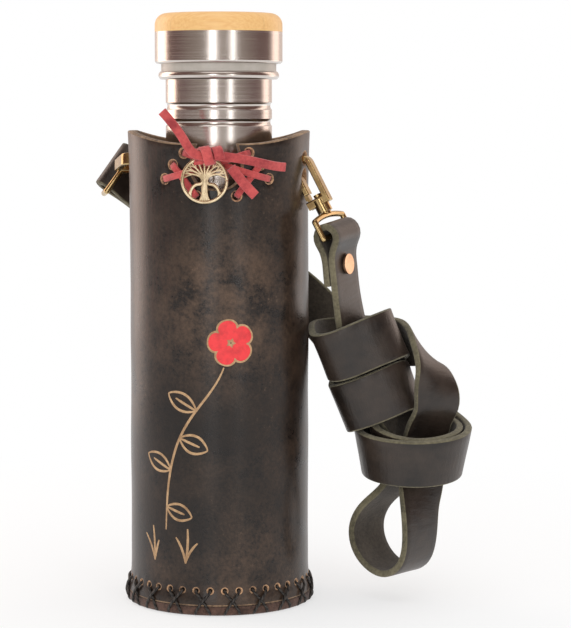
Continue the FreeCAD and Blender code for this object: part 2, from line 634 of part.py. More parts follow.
def strap_stations():
    """Whole strap from its right end to its left end, as (x, y, z, width direction) stations."""
    right_axes = hook_axes(1)
    left_axes = hook_axes(-1)
    right_end = fold_stations(bar_centre(right_axes), RIGHT_BAR_DIR, RIGHT_RUN_DIR, 1)
    left_end = fold_stations(bar_centre(left_axes), LEFT_BAR_DIR, LEFT_RUN_DIR, -1)
    left_end.reverse()
    core = beside([
        (17.6, -14.2, 127.0, 0.48, 0.87, 0.06),
        (20.2, -11.2, 115.0, 0.52, 0.85, 0.05),
        (24.0, -9.4, 103.0, 0.54, 0.84, 0.05),
        (29.6, -8.0, 91.5, 0.58, 0.81, 0.04),
        (38.2, -3.4, 81.0, 0.66, 0.75, 0.02),
        (43.0, -0.8, 71.5, 0.65, 0.76, 0.0),
    ])
    loop = beside([
        (43.0, 0.0, 63.0, 0.65, 0.76, 0.0),
        (42.0, 0.5, 55.0, 0.65, 0.76, 0.0),
        (36.4, 1.8, 47.0, 0.65, 0.76, 0.0),
        (29.6, 4.4, 39.5, 0.65, 0.76, 0.0),
        (26.2, 5.8, 31.0, 0.65, 0.76, 0.0),
        (27.6, 4.2, 21.5, 0.65, 0.76, 0.0),
        (33.0, -0.4, 14.6, 0.65, 0.76, 0.0),
        (39.7, -6.1, 12.6, 0.65, 0.76, 0.0),
        (45.4, -10.9, 16.6, 0.65, 0.76, 0.0),
        (48.4, -13.4, 26.0, 0.65, 0.76, 0.0),
        (48.8, -13.2, 36.0, 0.68, 0.73, 0.0),
        (48.8, -10.6, 46.0, 0.78, 0.62, 0.0),
        (49.6, -7.5, 55.0, 0.9, 0.44, 0.0),
        (50.2, -7.4, 63.0, 0.9, 0.43, 0.0),
        (51.2, -8.2, 70.5, 0.9, 0.43, 0.02),
    ])
    side_turn = beside([
        (52.8, -10.6, 78.6, 0.88, 0.47, 0.03),
        (55.7, -13.5, 86.4, 0.88, 0.47, 0.03),
        (55.4, -14.4, 93.8, 0.85, 0.52, 0.0),
        (54.4, -12.8, 101.0, 0.68, 0.73, -0.08),
        (51.4, -8.6, 107.6, 0.46, 0.82, -0.34),
        (47.0, -1.6, 111.6, 0.26, 0.60, -0.76),
        (40.4, 5.4, 112.6, 0.08, 0.25, -0.96),
    ])
    upper = [
        wrap_station(turn, drop, long_half, deep_half)
        for turn, drop, long_half, deep_half in (
            (275.0, 0.6, 19.6, 20.6),
            (240.0, -3.2, 19.2, 20.0),
            (208.0, -4.8, 15.5, 17.8),
            (180.0, -3.0, 14.7, 15.4),
            (150.0, -1.0, 16.2, 14.6),
            (120.0, 0.0, 17.8, 14.4),
            (90.0, 0.0, 18.8, 14.2),
            (60.0, 0.0, 18.8, 14.4),
            (30.0, 0.6, 18.8, 14.6),
            (0.0, 1.6, 18.8, 14.4),
            (-35.0, 4.6, 18.2, 14.2),
            (-90.0, 12.6, 17.2, 13.6),
            (-140.0, 20.6, 16.0, 12.0),
            (-180.0, 23.2, 15.8, 11.4),
            (-210.0, 23.2, 16.2, 11.8),
            (-240.0, 23.2, 16.2, 11.8),
            (-270.0, 23.2, 16.2, 11.8),
            (-300.0, 23.2, 16.2, 11.8),
            (-330.0, 23.8, 15.9, 11.4),
            (-360.0, 26.0, 16.4, 11.2),
        )
    ]
    link = beside([
        (47.2, -1.0, 91.6, 0.37, 0.06, -0.93),
        (46.2, 9.8, 86.8, 0.37, 0.06, -0.93),
        (38.6, 12.3, 81.8, 0.25, 0.04, -0.97),
        (32.2, 8.4, 76.8, 0.1, 0.02, -1.0),
    ])
    lower = [
        ring_station(turn, rise, long_half, deep_half)
        for turn, rise, long_half, deep_half in (
            (180.0, 5.5, 17.0, 16.4),
            (150.0, 2.6, 17.2, 16.4),
            (120.0, 0.8, 17.7, 16.4),
            (90.0, 0.0, 17.7, 16.5),
            (60.0, 0.0, 17.8, 16.6),
            (30.0, 0.0, 18.0, 16.8),
            (0.0, 0.0, 18.4, 17.2),
            (-30.0, 0.0, 19.0, 18.4),
            (-60.0, 0.0, 19.8, 20.0),
            (-90.0, 0.0, 20.8, 22.4),
            (-120.0, 0.0, 22.2, 23.2),
            (-150.0, 0.0, 23.0, 23.2),
            (-180.0, 0.0, 23.0, 22.2),
            (-210.0, 0.0, 22.8, 21.4),
            (-240.0, 0.0, 22.2, 20.6),
            (-270.0, 0.0, 21.8, 20.4),
            (-300.0, 0.0, 21.8, 20.6),
            (-330.0, 0.0, 22.0, 20.9),
            (-360.0, 0.0, 22.2, 21.4),
            (-390.0, 0.6, 22.6, 22.6),
            (-420.0, 3.4, 23.4, 24.4),
        )
    ]
    back = behind([
        (14.2, 49.8, 78.4, -0.30, 0.0, -0.95),
        (16.5, 39.2, 89.0, -0.55, 0.0, -0.83),
        (20.2, 29.2, 101.0, -0.62, 0.0, -0.78),
        (26.1, 21.1, 112.0, -0.62, 0.02, -0.78),
        (33.6, 16.2, 121.0, -0.60, 0.06, -0.80),
        (43.9, 12.3, 129.6, -0.57, 0.06, -0.82),
        (58.1, 8.3, 138.4, -0.56, 0.04, -0.83),
        (74.3, 5.3, 146.6, -0.56, 0.0, -0.83),
        (92.7, 4.0, 155.2, -0.56, -0.02, -0.83),
        (109.8, 6.4, 163.6, -0.56, -0.14, -0.82),
    ])
    return right_end, core, loop, side_turn, upper + link, lower, back, left_end


def beside(rows):
    """Stations given by their distance to the right of the sleeve's side."""
    return [(SLEEVE_R + row[0],) + row[1:] for row in rows]


def behind(rows):
    """Stations given by their bearing from the right-hand side and their distance out from the sleeve."""
    stations = []
    for bearing, out, *rest in rows:
        angle = math.radians(bearing)
        stations.append(((SLEEVE_R + out) * math.cos(angle), (SLEEVE_R + out) * math.sin(angle), *rest))
    return stations


def fold_stations(bar_mid, bar, run, side):
    """Strap end folded round the eye's bar: short ply, fold, long ply."""
    flat = bar.cross(run) * side
    half = (STRAP_T + PLY_GAP) / 2
    shape = (
        (21.0, half), (15.0, half), (9.6, half + 0.05), (5.2, half + 1.1), (0.4, FOLD_R),
        (-3.4, FOLD_R * 0.7), (-4.8, 0.0), (-3.4, -FOLD_R * 0.7), (0.4, -FOLD_R),
        (5.2, -half - 1.1), (9.6, -half - 0.05), (15.0, -half), (21.0, -half),
    )
    across = bar if side > 0 else bar * -1
    stations = []
    for down, out in shape:
        point = bar_mid + run * down + flat * out
        stations.append((point.x, point.y, point.z, across.x, across.y, across.z))
    return stations


def wrap_station(turn, drop, long_half, deep_half):
    """Station on the two upper wraps; turn 90 faces the front and 180 faces the sleeve."""
    down = Vec(WRAP_DOWN).normalize()
    angle = math.radians(turn)
    point = Vec(SLEEVE_R + WRAP_OUT, WRAP_Y, WRAP_Z) + down * drop + WRAP_SIDE * (long_half * math.cos(angle))
    point = point + Vec(0, -deep_half * math.sin(angle), 0)
    return (point.x, point.y, point.z, down.x, down.y, down.z)


def ring_station(turn, rise, long_half, deep_half):
    """Station on the lower, cupped wrap, a rise above its middle."""
    cup = math.radians(RING_CUP)
    angle = math.radians(turn)
    right = Vec(1, 0, 0)
    outward = right * math.cos(angle) + RING_FRONT * math.sin(angle)
    point = Vec(SLEEVE_R + RING_OUT, RING_Y, RING_Z) + RING_AXIS * rise
    point = point + right * (long_half * math.cos(angle)) + RING_FRONT * (deep_half * math.sin(angle))
    up = RING_AXIS * math.cos(cup) + outward * math.sin(cup)
    return (point.x, point.y, point.z, -up.x, -up.y, -up.z)


def strap():
    """Cut the one long strap into its named stretches, end face to end face."""
    names = (
        "strap_right_end", "strap_core", "strap_hanging_loop", "strap_side_turn",
        "strap_upper_wraps", "strap_lower_wrap", "strap_back_run", "strap_left_end",
    )
    groups = strap_stations()
    stations = [station for group in groups for station in group]
    path = route(stations)
    first = 0
    pieces = {}
    for name, group in zip(names, groups):
        last = first + len(group)
        start = path[2][first]
        end = path[2][min(last, len(stations) - 1)]
        pieces[name] = strip(path, start, end, STRAP_W, STRAP_T, 2.5)
        first = last
    return pieces


def rivet_parts(axes, bar, run, side):
    """Post with its head on the long ply, and the cap pressed on the short ply."""
    flat = bar.cross(run) * side
    middle = bar_centre(axes) + run * RIVET_DOWN
    face = STRAP_T + PLY_GAP / 2 + 0.3
    post = rod(middle - flat * face, middle + flat * face, RIVET_R)
    head = rod(middle - flat * face, middle - flat * (face + RIVET_HEAD_T), RIVET_HEAD_R)
    cap = rod(middle + flat * face, middle + flat * (face + RIVET_HEAD_T), RIVET_HEAD_R)
    head = head.makeFillet(0.5, [e for e in head.Edges if e.Closed][-1:])
    cap = cap.makeFillet(0.5, [e for e in cap.Edges if e.Closed][-1:])
    hole = rod(middle - flat * 8, middle + flat * 8, RIVET_R + 0.1)
    return fused([post, head]), cap, hole


def bottle_body():
    """Steel bottle with rolled neck rings and an open mouth."""
    wall = BOTTLE_WALL
    mid_z = (SHOULDER_LOW_Z + SHOULDER_TOP_Z) / 2
    mid_r = (BOTTLE_R + NECK_R) / 2
    step_in = (BOTTLE_R - NECK_R) * SHOULDER_BEND_IN
    step_up = (SHOULDER_TOP_Z - SHOULDER_LOW_Z) * SHOULDER_BEND_UP
    quarter_low = (BOTTLE_R - step_in, SHOULDER_LOW_Z + step_up)
    quarter_top = (NECK_R + step_in, SHOULDER_TOP_Z - step_up)
    outline = [
        (BOTTLE_FOOT_R, BOTTLE_FOOT_Z),
        ((BOTTLE_R - HEEL_BEND, BOTTLE_FOOT_Z + HEEL_BEND), (BOTTLE_R, BOTTLE_FOOT_Z + BOTTLE_HEEL)),
        (BOTTLE_R, SHOULDER_LOW_Z),
        (quarter_low, (mid_r, mid_z)),
        (quarter_top, (NECK_R, SHOULDER_TOP_Z)),
    ]
    for groove_z in NECK_GROOVES_Z:
        outline.append((NECK_R, groove_z - NECK_GROOVE_HALF))
        outline.append(((NECK_R - NECK_GROOVE, groove_z), (NECK_R, groove_z + NECK_GROOVE_HALF)))
    lip_mid = (LIP_LOW_Z + LIP_TOP_Z) / 2
    inner_bend = (BOTTLE_R - wall - HEEL_BEND_IN, BOTTLE_FOOT_Z + HEEL_BEND_UP)
    outline += [
        (NECK_R, LIP_LOW_Z),
        (LIP_R - LIP_ROLL, LIP_LOW_Z),
        ((LIP_R, lip_mid), (LIP_R - LIP_ROLL, LIP_TOP_Z)),
        (NECK_R - wall, LIP_TOP_Z),
    ]
    for groove_z in reversed(NECK_GROOVES_Z):
        outline.append((NECK_R - wall, groove_z + NECK_GROOVE_HALF))
        outline.append((NECK_R - wall, groove_z - NECK_GROOVE_HALF))
    outline += [
        (NECK_R - wall, SHOULDER_TOP_Z),
        ((quarter_top[0] - wall, quarter_top[1]), (mid_r - wall, mid_z)),
        ((quarter_low[0] - wall, quarter_low[1]), (BOTTLE_R - wall, SHOULDER_LOW_Z)),
        (BOTTLE_R - wall, BOTTLE_FOOT_Z + BOTTLE_HEEL),
        (inner_bend, (BOTTLE_FOOT_R, BOTTLE_FOOT_Z + wall)),
        (0, BOTTLE_FOOT_Z + wall),
    ]
    return turned((0, BOTTLE_FOOT_Z), *outline)


def cap_shell():
    """Steel cap cup, open below."""
    return turned(
        (0, CAP_SEAM_Z),
        (CAP_R, CAP_SEAM_Z),
        (CAP_R, CAP_LOW_Z + CAP_EDGE),
        ((CAP_R - CAP_EDGE * 0.3, CAP_LOW_Z + CAP_EDGE * 0.3), (CAP_R - CAP_EDGE, CAP_LOW_Z)),
        (CAP_R - CAP_WALL, CAP_LOW_Z),
        (CAP_R - CAP_WALL, CAP_SEAM_Z - CAP_PLATE),
        (0, CAP_SEAM_Z - CAP_PLATE),
    )


def cap_top():
    """Wooden disc let on to the cap, with a well-rounded upper edge."""
    disc = Part.makeCylinder(CAP_R, CAP_TOP_Z - CAP_SEAM_Z, Vec(0, 0, CAP_SEAM_Z))
    upper = [edge for edge in disc.Edges if edge.Closed and edge.CenterOfMass.z > CAP_TOP_Z - 1]
    return disc.makeFillet(CAP_TOP_EDGE, upper)


def cap_plug():
    """Plug that screws into the neck, with a flange inside the cap."""
    shank = NECK_R - BOTTLE_WALL - PLUG_RUN
    flange = CAP_R - CAP_WALL
    under = CAP_SEAM_Z - CAP_PLATE
    return turned(
        (0, under),
        (flange, under),
        (flange, CAP_LOW_Z),
        (shank, CAP_LOW_Z),
        (shank, PLUG_LOW_Z + PLUG_EDGE),
        (shank - PLUG_EDGE, PLUG_LOW_Z),
        (shank - PLUG_WALL, PLUG_LOW_Z),
        (shank - PLUG_WALL, CAP_LOW_Z),
        (0, CAP_LOW_Z),
    )


def cap_gasket():
    """Soft ring between the lip and the cap."""
    inner = NECK_R - BOTTLE_WALL - PLUG_RUN + GASKET_RUN
    return turned(
        (inner, LIP_TOP_Z),
        (GASKET_R, LIP_TOP_Z),
        (GASKET_R, CAP_LOW_Z),
        (inner, CAP_LOW_Z),
    )


def tree_charm():
    """Pierced disc: rim, trunk, boughs and roots, with a lug on top."""
    middle = Vec(CHARM_X, CHARM_Y, CHARM_Z)
    back = Vec(0, CHARM_T / 2, 0)
    face = Vec(0, -1, 0)
    rim = Part.makeCylinder(CHARM_R, CHARM_T, middle + back, face)
    rim = rim.cut(Part.makeCylinder(CHARM_R - CHARM_RIM, CHARM_T * 3, middle + back * 3, face))
    limbs = [(0.0, -3.6, 0.0, 3.0, 1.0)]
    for sign in (-1, 1):
        limbs += [
            (0.0, 0.6, sign * 7.6, 4.6, 0.6),
            (0.0, 1.6, sign * 5.2, 7.4, 0.6),
            (0.0, 2.6, sign * 2.0, 8.8, 0.6),
            (sign * 3.4, 2.4, sign * 8.8, 1.4, 0.5),
            (0.0, -3.0, sign * 6.6, -6.2, 0.6),
            (0.0, -3.4, sign * 3.2, -8.4, 0.6),
        ]
    pieces = [rim]
    for x0, z0, x1, z1, radius in limbs:
        pieces.append(rod(middle + Vec(x0, 0, z0), middle + Vec(x1, 0, z1), radius))
    lug_mid = middle + Vec(0, 0, CHARM_LUG_UP)
    pieces.append(Part.makeCylinder(CHARM_LUG_R, CHARM_T, lug_mid + back, face))
    charm = fused(pieces)
    return charm.cut(Part.makeCylinder(CHARM_LUG_HOLE_R, CHARM_T * 3, lug_mid + back * 3, face))


def jump_centre():
    """Middle of the jump ring that carries the charm."""
    return Vec(CHARM_X, CHARM_Y, CHARM_Z + CHARM_LUG_UP + JUMP_R)


def charm_ring():
    """Jump ring through the charm's lug and round the lace."""
    return Part.makeTorus(JUMP_R, JUMP_WIRE_R, jump_centre(), Vec(1, 0, 0))


def charm_cord():
    """Rolled lace behind the knot: a short bar through the jump ring, with an arm to the knot at each end."""
    middle = jump_centre() + Vec(0, 0, JUMP_R - JUMP_WIRE_R - CHARM_CORD_R - 0.1)
    knot_back = KNOT_MID.y + KNOT_R + LACE_T / 2 + 0.05
    ends = [middle + Vec(sign * CHARM_CORD_HALF, 0, 0) for sign in (-1, 1)]
    pieces = [rod(ends[0], ends[1], CHARM_CORD_R)]
    for end in ends:
        pieces.append(Part.makeSphere(CHARM_CORD_R, end))
        pieces.append(rod(end, Vec(end.x, knot_back, end.z), CHARM_CORD_R))
    return fused(pieces)


def build():
    """Make every piece of the carrier and its bottle."""
    os.makedirs("parts", exist_ok=True)
    save(sleeve(), "sleeve")
    save(base_disc(), "base_disc")
    save(base_stitching(), "base_stitching")
    save(back_stitching(), "back_seam_stitching")
    save(bottle_body(), "bottle_body")
    save(cap_shell(), "cap_shell")
    save(cap_top(), "cap_top")
    save(cap_plug(), "cap_plug")
    save(cap_gasket(), "cap_gasket")
    hook_set(1, "right", RIGHT_BAR_DIR)
    hook_set(-1, "left", LEFT_BAR_DIR)
    pieces = strap()
    ends = (
        ("strap_right_end", "right", hook_axes(1), RIGHT_BAR_DIR, RIGHT_RUN_DIR, 1),
        ("strap_left_end", "left", hook_axes(-1), LEFT_BAR_DIR, LEFT_RUN_DIR, -1),
    )
    for piece, name, axes, bar, run, side in ends:
        post, cap, hole = rivet_parts(axes, bar, run, side)
        pieces[piece] = pieces[piece].cut(hole)
        save(post, name + "_rivet_post")
        save(cap, name + "_rivet_cap")
    for piece, shape in pieces.items():
        save(shape, piece)
    save(tree_charm(), "tree_charm")
    save(charm_ring(), "charm_ring")
    save(charm_cord(), "charm_cord")
    save(lace_crossings(), "lace_crossings")
    save(lace_knot(), "lace_knot")
    save(lace_long_tail(), "lace_long_tail")
    save(lace_low_tail(), "lace_low_tail")


build()
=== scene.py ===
"""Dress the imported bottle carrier: laced leather sleeve, steel bottle, snap hooks and wrapped strap."""
import logging
import math
from dataclasses import dataclass
from enum import Enum
from typing import Callable, Iterable, Sequence

import bpy
import numpy as np
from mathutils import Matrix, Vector, geometry, noise


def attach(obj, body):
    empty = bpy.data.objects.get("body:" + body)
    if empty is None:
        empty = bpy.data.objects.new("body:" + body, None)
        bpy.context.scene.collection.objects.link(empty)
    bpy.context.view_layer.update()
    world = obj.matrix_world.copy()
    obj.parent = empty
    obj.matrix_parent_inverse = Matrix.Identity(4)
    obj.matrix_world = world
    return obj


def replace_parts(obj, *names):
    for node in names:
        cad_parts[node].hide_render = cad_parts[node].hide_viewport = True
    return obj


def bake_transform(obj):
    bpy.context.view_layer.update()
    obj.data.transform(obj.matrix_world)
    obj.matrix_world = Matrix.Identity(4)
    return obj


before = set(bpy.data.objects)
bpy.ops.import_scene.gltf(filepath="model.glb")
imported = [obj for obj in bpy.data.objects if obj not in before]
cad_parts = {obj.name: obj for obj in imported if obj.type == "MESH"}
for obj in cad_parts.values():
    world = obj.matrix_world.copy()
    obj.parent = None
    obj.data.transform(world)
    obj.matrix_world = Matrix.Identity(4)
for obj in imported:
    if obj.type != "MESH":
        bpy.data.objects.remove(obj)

LOG = logging.getLogger("bottle_carrier")
MM = 0.001
WHITE = (1.0, 1.0, 1.0)
Pair = tuple[float, float]
Point = tuple[float, float, float]
Station = tuple[float, float, float, float, float, float]
Socket = bpy.types.NodeSocket
Material = bpy.types.Material
Piece = bpy.types.Object


class Body(Enum):
    """Moving bodies that dressed pieces ride on."""

    CARRIER = "carrier"
    CHARM = "charm"
    RIGHT_EYE = "right_eye"
    LEFT_EYE = "left_eye"
    STRAP = "strap"


class Skin(Enum):
    """Sides of a cut piece of leather, in the order of its material slots."""

    GRAIN = 0
    FLESH = 1
    EDGE = 2
    PIERCED = 3


class Nodes:
    """Node tree, with short calls for the nodes used here."""

    def __init__(self, tree: bpy.types.NodeTree, place: str) -> None:
        """Take a tree, and the texture place that its nodes read."""
        self.tree = tree
        self.place = self.add("TexCoord").outputs[place]

    def fill(self, socket: Socket, value: object) -> None:
        """Set a socket, or lead another one into it.

        Args:
            socket: Socket to fill.
            value: Constant, or the socket that gives the value.
        """
        if isinstance(value, Socket):
            self.tree.links.new(value, socket)
        else:
            socket.default_value = value

    def add(self, kind: str, *values: object, operation: str = "", **named: object) -> bpy.types.Node:
        """Add a node and fill its sockets.

        Args:
            kind: End of the node's type name.
            values: Constants or sources of its first sockets, in order.
            operation: Operation of a node that has one.
            named: Constants or sources by name, with _ for each space in a socket's name.

        Returns:
            The node.
        """
        node = self.tree.nodes.new(f"ShaderNode{kind}")
        if operation:
            node.operation = operation
        for number, value in enumerate(values):
            self.fill(node.inputs[number], value)
        for name, value in named.items():
            self.fill(node.inputs[name.replace("_", " ")], value)
        return node

    def stretched(self, scale: Point, place: Socket | None = None) -> Socket:
        """Texture place with each axis scaled."""
        return self.add("Mapping", Vector=place or self.place, Scale=scale).outputs["Vector"]

    def along_piece(self) -> Socket:
        """Place measured along and across a strip, kept in its UV layer."""
        return self.add("UVMap").outputs["UV"]

    def noise(self, scale: float, detail: float, rough: float = 0.55, place: Socket | None = None) -> Socket:
        """Cloudy noise, by its waves per unit of place, its finer layers and their weight."""
        source = place or self.place
        return self.add("TexNoise", Vector=source, Scale=scale, Detail=detail, Roughness=rough).outputs["Fac"]

    def cells(self, scale: float, place: Socket | None = None) -> Socket:
        """Distance to the nearest point of a cell pattern, for pebbled grain."""
        return self.add("TexVoronoi", Vector=place or self.place, Scale=scale).outputs["Distance"]

    def spread(self, source: Socket, low: float, high: float, to_low: float, to_high: float) -> Socket:
        """Value moved from one range to another, and held inside it."""
        node = self.add("MapRange", Value=source, From_Min=low, From_Max=high, To_Min=to_low, To_Max=to_high)
        return node.outputs["Result"]

    def maths(self, step: str, first: Socket, second: Socket | float) -> Socket:
        """One step of arithmetic."""
        return self.add("Math", first, second, operation=step).outputs["Value"]

    def weighed(self, first: Socket, second: Socket, share: float) -> Socket:
        """Sum of two values, weighed by the share of the second."""
        kept = self.maths("MULTIPLY", first, 1.0 - share)
        return self.maths("ADD", kept, self.maths("MULTIPLY", second, share))

    def axis(self, name: str) -> Socket:
        """One coordinate of the texture place."""
        return self.add("SeparateXYZ", Vector=self.place).outputs[name]

    def away_from(self, spot: Point) -> Socket:
        """Distance of the texture place from a spot, in metres."""
        return self.add("VectorMath", self.place, spot, operation="DISTANCE").outputs["Value"]

    def ramp(self, source: Socket, *stops: tuple[float, Point]) -> Socket:
        """Colours along a value.

        Args:
            source: Value from 0 to 1.
            stops: Place and colour of each stop, in order.

        Returns:
            The colour.
        """
        node = self.add("ValToRGB", Fac=source)
        while len(node.color_ramp.elements) < len(stops):
            node.color_ramp.elements.new(0.5)
        for element, (place, colour) in zip(node.color_ramp.elements, stops):
            element.position = place
            element.color = (*colour, 1.0)
        return node.outputs["Color"]

    def mixed(self, share: Socket, first: Socket | Point, second: Socket | Point) -> Socket:
        """Mix of two colours.

        Args:
            share: Share of the second.
            first: Colour at share 0.
            second: Colour at share 1.

        Returns:
            The mixed colour.
        """
        node = self.add("Mix", share)
        node.data_type = "RGBA"
        for socket, colour in zip([item for item in node.inputs if item.type == "RGBA"], (first, second)):
            self.fill(socket, (*colour, 1.0) if isinstance(colour, tuple) else colour)
        return [item for item in node.outputs if item.type == "RGBA"][0]


class Shader(Nodes):
    """Node tree of one material, with one Principled shader."""

    def __init__(self, name: str) -> None:
        """Start a material.

        Args:
            name: Name of the material.
        """
        self.material = bpy.data.materials.new(name)
        self.material.use_nodes = True
        super().__init__(self.material.node_tree, "Object")
        self.surface = self.tree.nodes["Principled BSDF"]

    def set(self, **named: object) -> None:
        """Fill sockets of the Principled shader, with _ for each space in a socket's name."""
        for name, value in named.items():
            self.fill(self.surface.inputs[name.replace("_", " ")], value)

    def bump(self, height: Socket, depth: float, strength: float) -> None:
        """Relief on the surface, added over any that is there.

        Args:
            height: Height of the relief, from 0 to 1.
            depth: Depth of the relief in metres.
            strength: Share of it that shows.
        """
        node = self.add("Bump", Height=height, Distance=depth, Strength=strength)
        taken = self.surface.inputs["Normal"]
        if taken.is_linked:
            self.fill(node.inputs["Normal"], taken.links[0].from_socket)
        self.fill(taken, node.outputs["Normal"])


@dataclass(frozen=True)
class Finish:
    """Finish of a piece; its scales are in waves or cells per metre."""

    name: str

    def lay(self, shader: Shader) -> None:
        """Lay the finish on a shader's surface."""
        raise NotImplementedError

    def material(self) -> Material:
        """Build the finish.

        Returns:
            The material.
        """
        shader = Shader(self.name)
        self.lay(shader)
        return shader.material


@dataclass(frozen=True)
class RubbedAndLitLeather(Finish):
    """Waxed dark leather, rubbed back to brown in clouds, upright streaks and specks, and lighter on the
    upper front where a pool of light is painted in.
    """

    dark: Point = (0.0045, 0.0028, 0.0022)
    mid: Point = (0.036, 0.0225, 0.0155)
    # Pale brown of the rubbed clouds, also the colour of the painted pool of light on the upper front.
    rubbed_and_lit: Point = (0.135, 0.080, 0.049)
    russet: Point = (0.052, 0.022, 0.015)
    scratch: Point = (0.30, 0.20, 0.13)
    sheen: Point = (1.0, 0.70, 0.56)
    cloud_scale: float = 75.0
    speck_scale: float = 620.0
    speck_share: float = 0.22
    handled_scale: float = 16.0
    fleck_scale: float = 40.0
    streak_scale: Point = (900.0, 900.0, 70.0)
    pebble_scale: float = 1500.0
    crease_scale: float = 420.0
    # Middle and reach of a lighter patch on the upper front: painted light, mixed with the rubbed wear.
    lit_rubbed_spot: Point = (0.003, -0.040, 0.132)
    lit_rubbed_reach: Pair = (0.016, 0.062)
    russet_side: Pair = (-0.031, -0.014)
    russet_up: Pair = (0.108, 0.145)

    def lay(self, shader: Shader) -> None:
        """Lay the finish on a shader's surface.

        Args:
            shader: Shader of the material.
        """
        clouds = shader.noise(self.cloud_scale, 5.0, 0.62)
        specks = shader.noise(self.speck_scale, 4.0, 0.7)
        patches = shader.weighed(clouds, shader.spread(specks, 0.30, 0.70, 0.0, 1.0), self.speck_share)
        clouded = shader.spread(shader.noise(self.handled_scale, 2.0), 0.34, 0.62, 0.25, 0.75)
        # Painted pool of light: the upper front is made lighter round a spot, on top of the wear clouds.
        held_and_lit = shader.spread(shader.away_from(self.lit_rubbed_spot), *self.lit_rubbed_reach, 1.0, 0.0)
        handled_and_lit = shader.maths("MAXIMUM", clouded, held_and_lit)
        ground = shader.mixed(handled_and_lit, self.dark, shader.ramp(patches, (0.22, self.dark), (0.68, self.mid)))
        bared = shader.spread(patches, 0.38, 0.76, 0.0, 1.0)
        # Pale brown shows where the wear clouds and the painted pool of light fall on pale patches.
        worn = shader.maths("MULTIPLY", bared, shader.maths("POWER", handled_and_lit, 2.0))
        ground = shader.mixed(worn, ground, self.rubbed_and_lit)
        streaks = shader.noise(1.0, 4.0, 0.7, shader.stretched(self.streak_scale))
        side = shader.spread(shader.axis("X"), *self.russet_side, 1.0, 0.0)
        upper = shader.maths("MULTIPLY", side, shader.spread(shader.axis("Z"), *self.russet_up, 0.15, 1.0))
        red = shader.maths("MULTIPLY", shader.spread(streaks, 0.44, 0.66, 0.0, 0.9), upper)
        ground = shader.mixed(red, ground, self.russet)
        mask = shader.spread(shader.noise(self.fleck_scale, 2.0), 0.53, 0.66, 0.0, 1.0)
        flecks = shader.maths("MULTIPLY", shader.spread(specks, 0.62, 0.72, 0.0, 0.32), mask)
        shader.set(
            Base_Color=shader.mixed(flecks, ground, self.scratch),
            Roughness=shader.spread(patches, 0.30, 0.70, 0.26, 0.36),
            Specular_IOR_Level=0.40, Sheen_Weight=0.06, Sheen_Roughness=0.4, Sheen_Tint=(*self.sheen, 1.0),
        )
        shader.bump(shader.cells(self.pebble_scale), 0.00008, 0.35)
        shader.bump(shader.noise(self.crease_scale, 4.0), 0.00010, 0.4)


@dataclass(frozen=True)
class StrapLeather(Finish):
    """Smooth drum-dyed strap leather with faint creases across it."""

    dark: Point = (0.012, 0.0082, 0.0060)
    light: Point = (0.042, 0.0285, 0.0205)
    sheen: Point = (1.0, 0.76, 0.62)
    cloud_scale: float = 60.0
    crease_scale: Point = (420.0, 70.0, 1.0)
    pebble_scale: float = 1700.0

    def lay(self, shader: Shader) -> None:
        """Lay the finish on a shader's surface.

        Args:
            shader: Shader of the material.
        """
        place = shader.along_piece()
        clouds = shader.noise(self.cloud_scale, 4.0, 0.6, place)
        shader.set(
            Base_Color=shader.ramp(clouds, (0.34, self.dark), (0.66, self.light)),
            Roughness=shader.spread(clouds, 0.3, 0.7, 0.32, 0.44),
            Specular_IOR_Level=0.52, Sheen_Weight=0.05, Sheen_Roughness=0.4, Sheen_Tint=(*self.sheen, 1.0),
        )
        shader.bump(shader.noise(1.0, 3.0, 0.6, shader.stretched(self.crease_scale, place)), 0.00035, 0.55)
        shader.bump(shader.cells(self.pebble_scale, place), 0.0001, 0.4)


@dataclass(frozen=True)
class RawLeather(Finish):
    """Cut edge or flesh side of leather: fibrous and matt."""

    dark: Point
    light: Point
    fibre_scale: float = 700.0
    cloud_scale: float = 90.0

    def lay(self, shader: Shader) -> None:
        """Lay the finish on a shader's surface.

        Args:
            shader: Shader of the material.
        """
        fibres = shader.noise(self.fibre_scale, 5.0, 0.7)
        both = shader.weighed(fibres, shader.noise(self.cloud_scale, 2.0), 0.4)
        shader.set(
            Base_Color=shader.ramp(both, (0.36, self.dark), (0.64, self.light)),
            Roughness=0.86, Specular_IOR_Level=0.2, Sheen_Weight=0.15, Sheen_Roughness=0.6,
        )
        shader.bump(fibres, 0.0004, 0.6)


@dataclass(frozen=True)
class DyedLace(Finish):
    """Soft dyed lace leather with a short nap and paler worn parts."""

    deep: Point = (0.27, 0.022, 0.028)
    worn: Point = (0.64, 0.096, 0.090)
    nap_scale: float = 900.0
    cloud_scale: float = 140.0

    def lay(self, shader: Shader) -> None:
        """Lay the finish on a shader's surface.

        Args:
            shader: Shader of the material.
        """
        nap = shader.noise(self.nap_scale, 4.0, 0.65)
        both = shader.weighed(nap, shader.noise(self.cloud_scale, 3.0), 0.65)
        shader.set(
            Base_Color=shader.ramp(both, (0.32, self.deep), (0.62, self.worn)),
            Roughness=0.62, Specular_IOR_Level=0.3, Sheen_Weight=0.25, Sheen_Roughness=0.5,
        )
        shader.bump(nap, 0.0002, 0.6)


@dataclass(frozen=True)
class WaxedCord(Finish):
    """Dark waxed sewing cord with a twist."""

    dark: Point = (0.012, 0.010, 0.009)
    light: Point = (0.045, 0.038, 0.033)
    twist_scale: float = 260.0

    def lay(self, shader: Shader) -> None:
        """Lay the finish on a shader's surface.

        Args:
            shader: Shader of the material.
        """
        wave = shader.add("TexWave", Vector=shader.along_piece(), Scale=self.twist_scale)
        wave.bands_direction = "DIAGONAL"
        twist = wave.outputs["Fac"]
        shader.set(
            Base_Color=shader.ramp(twist, (0.2, self.dark), (0.8, self.light)),
            Roughness=0.5, Specular_IOR_Level=0.4,
        )
        shader.bump(twist, 0.0002, 0.7)


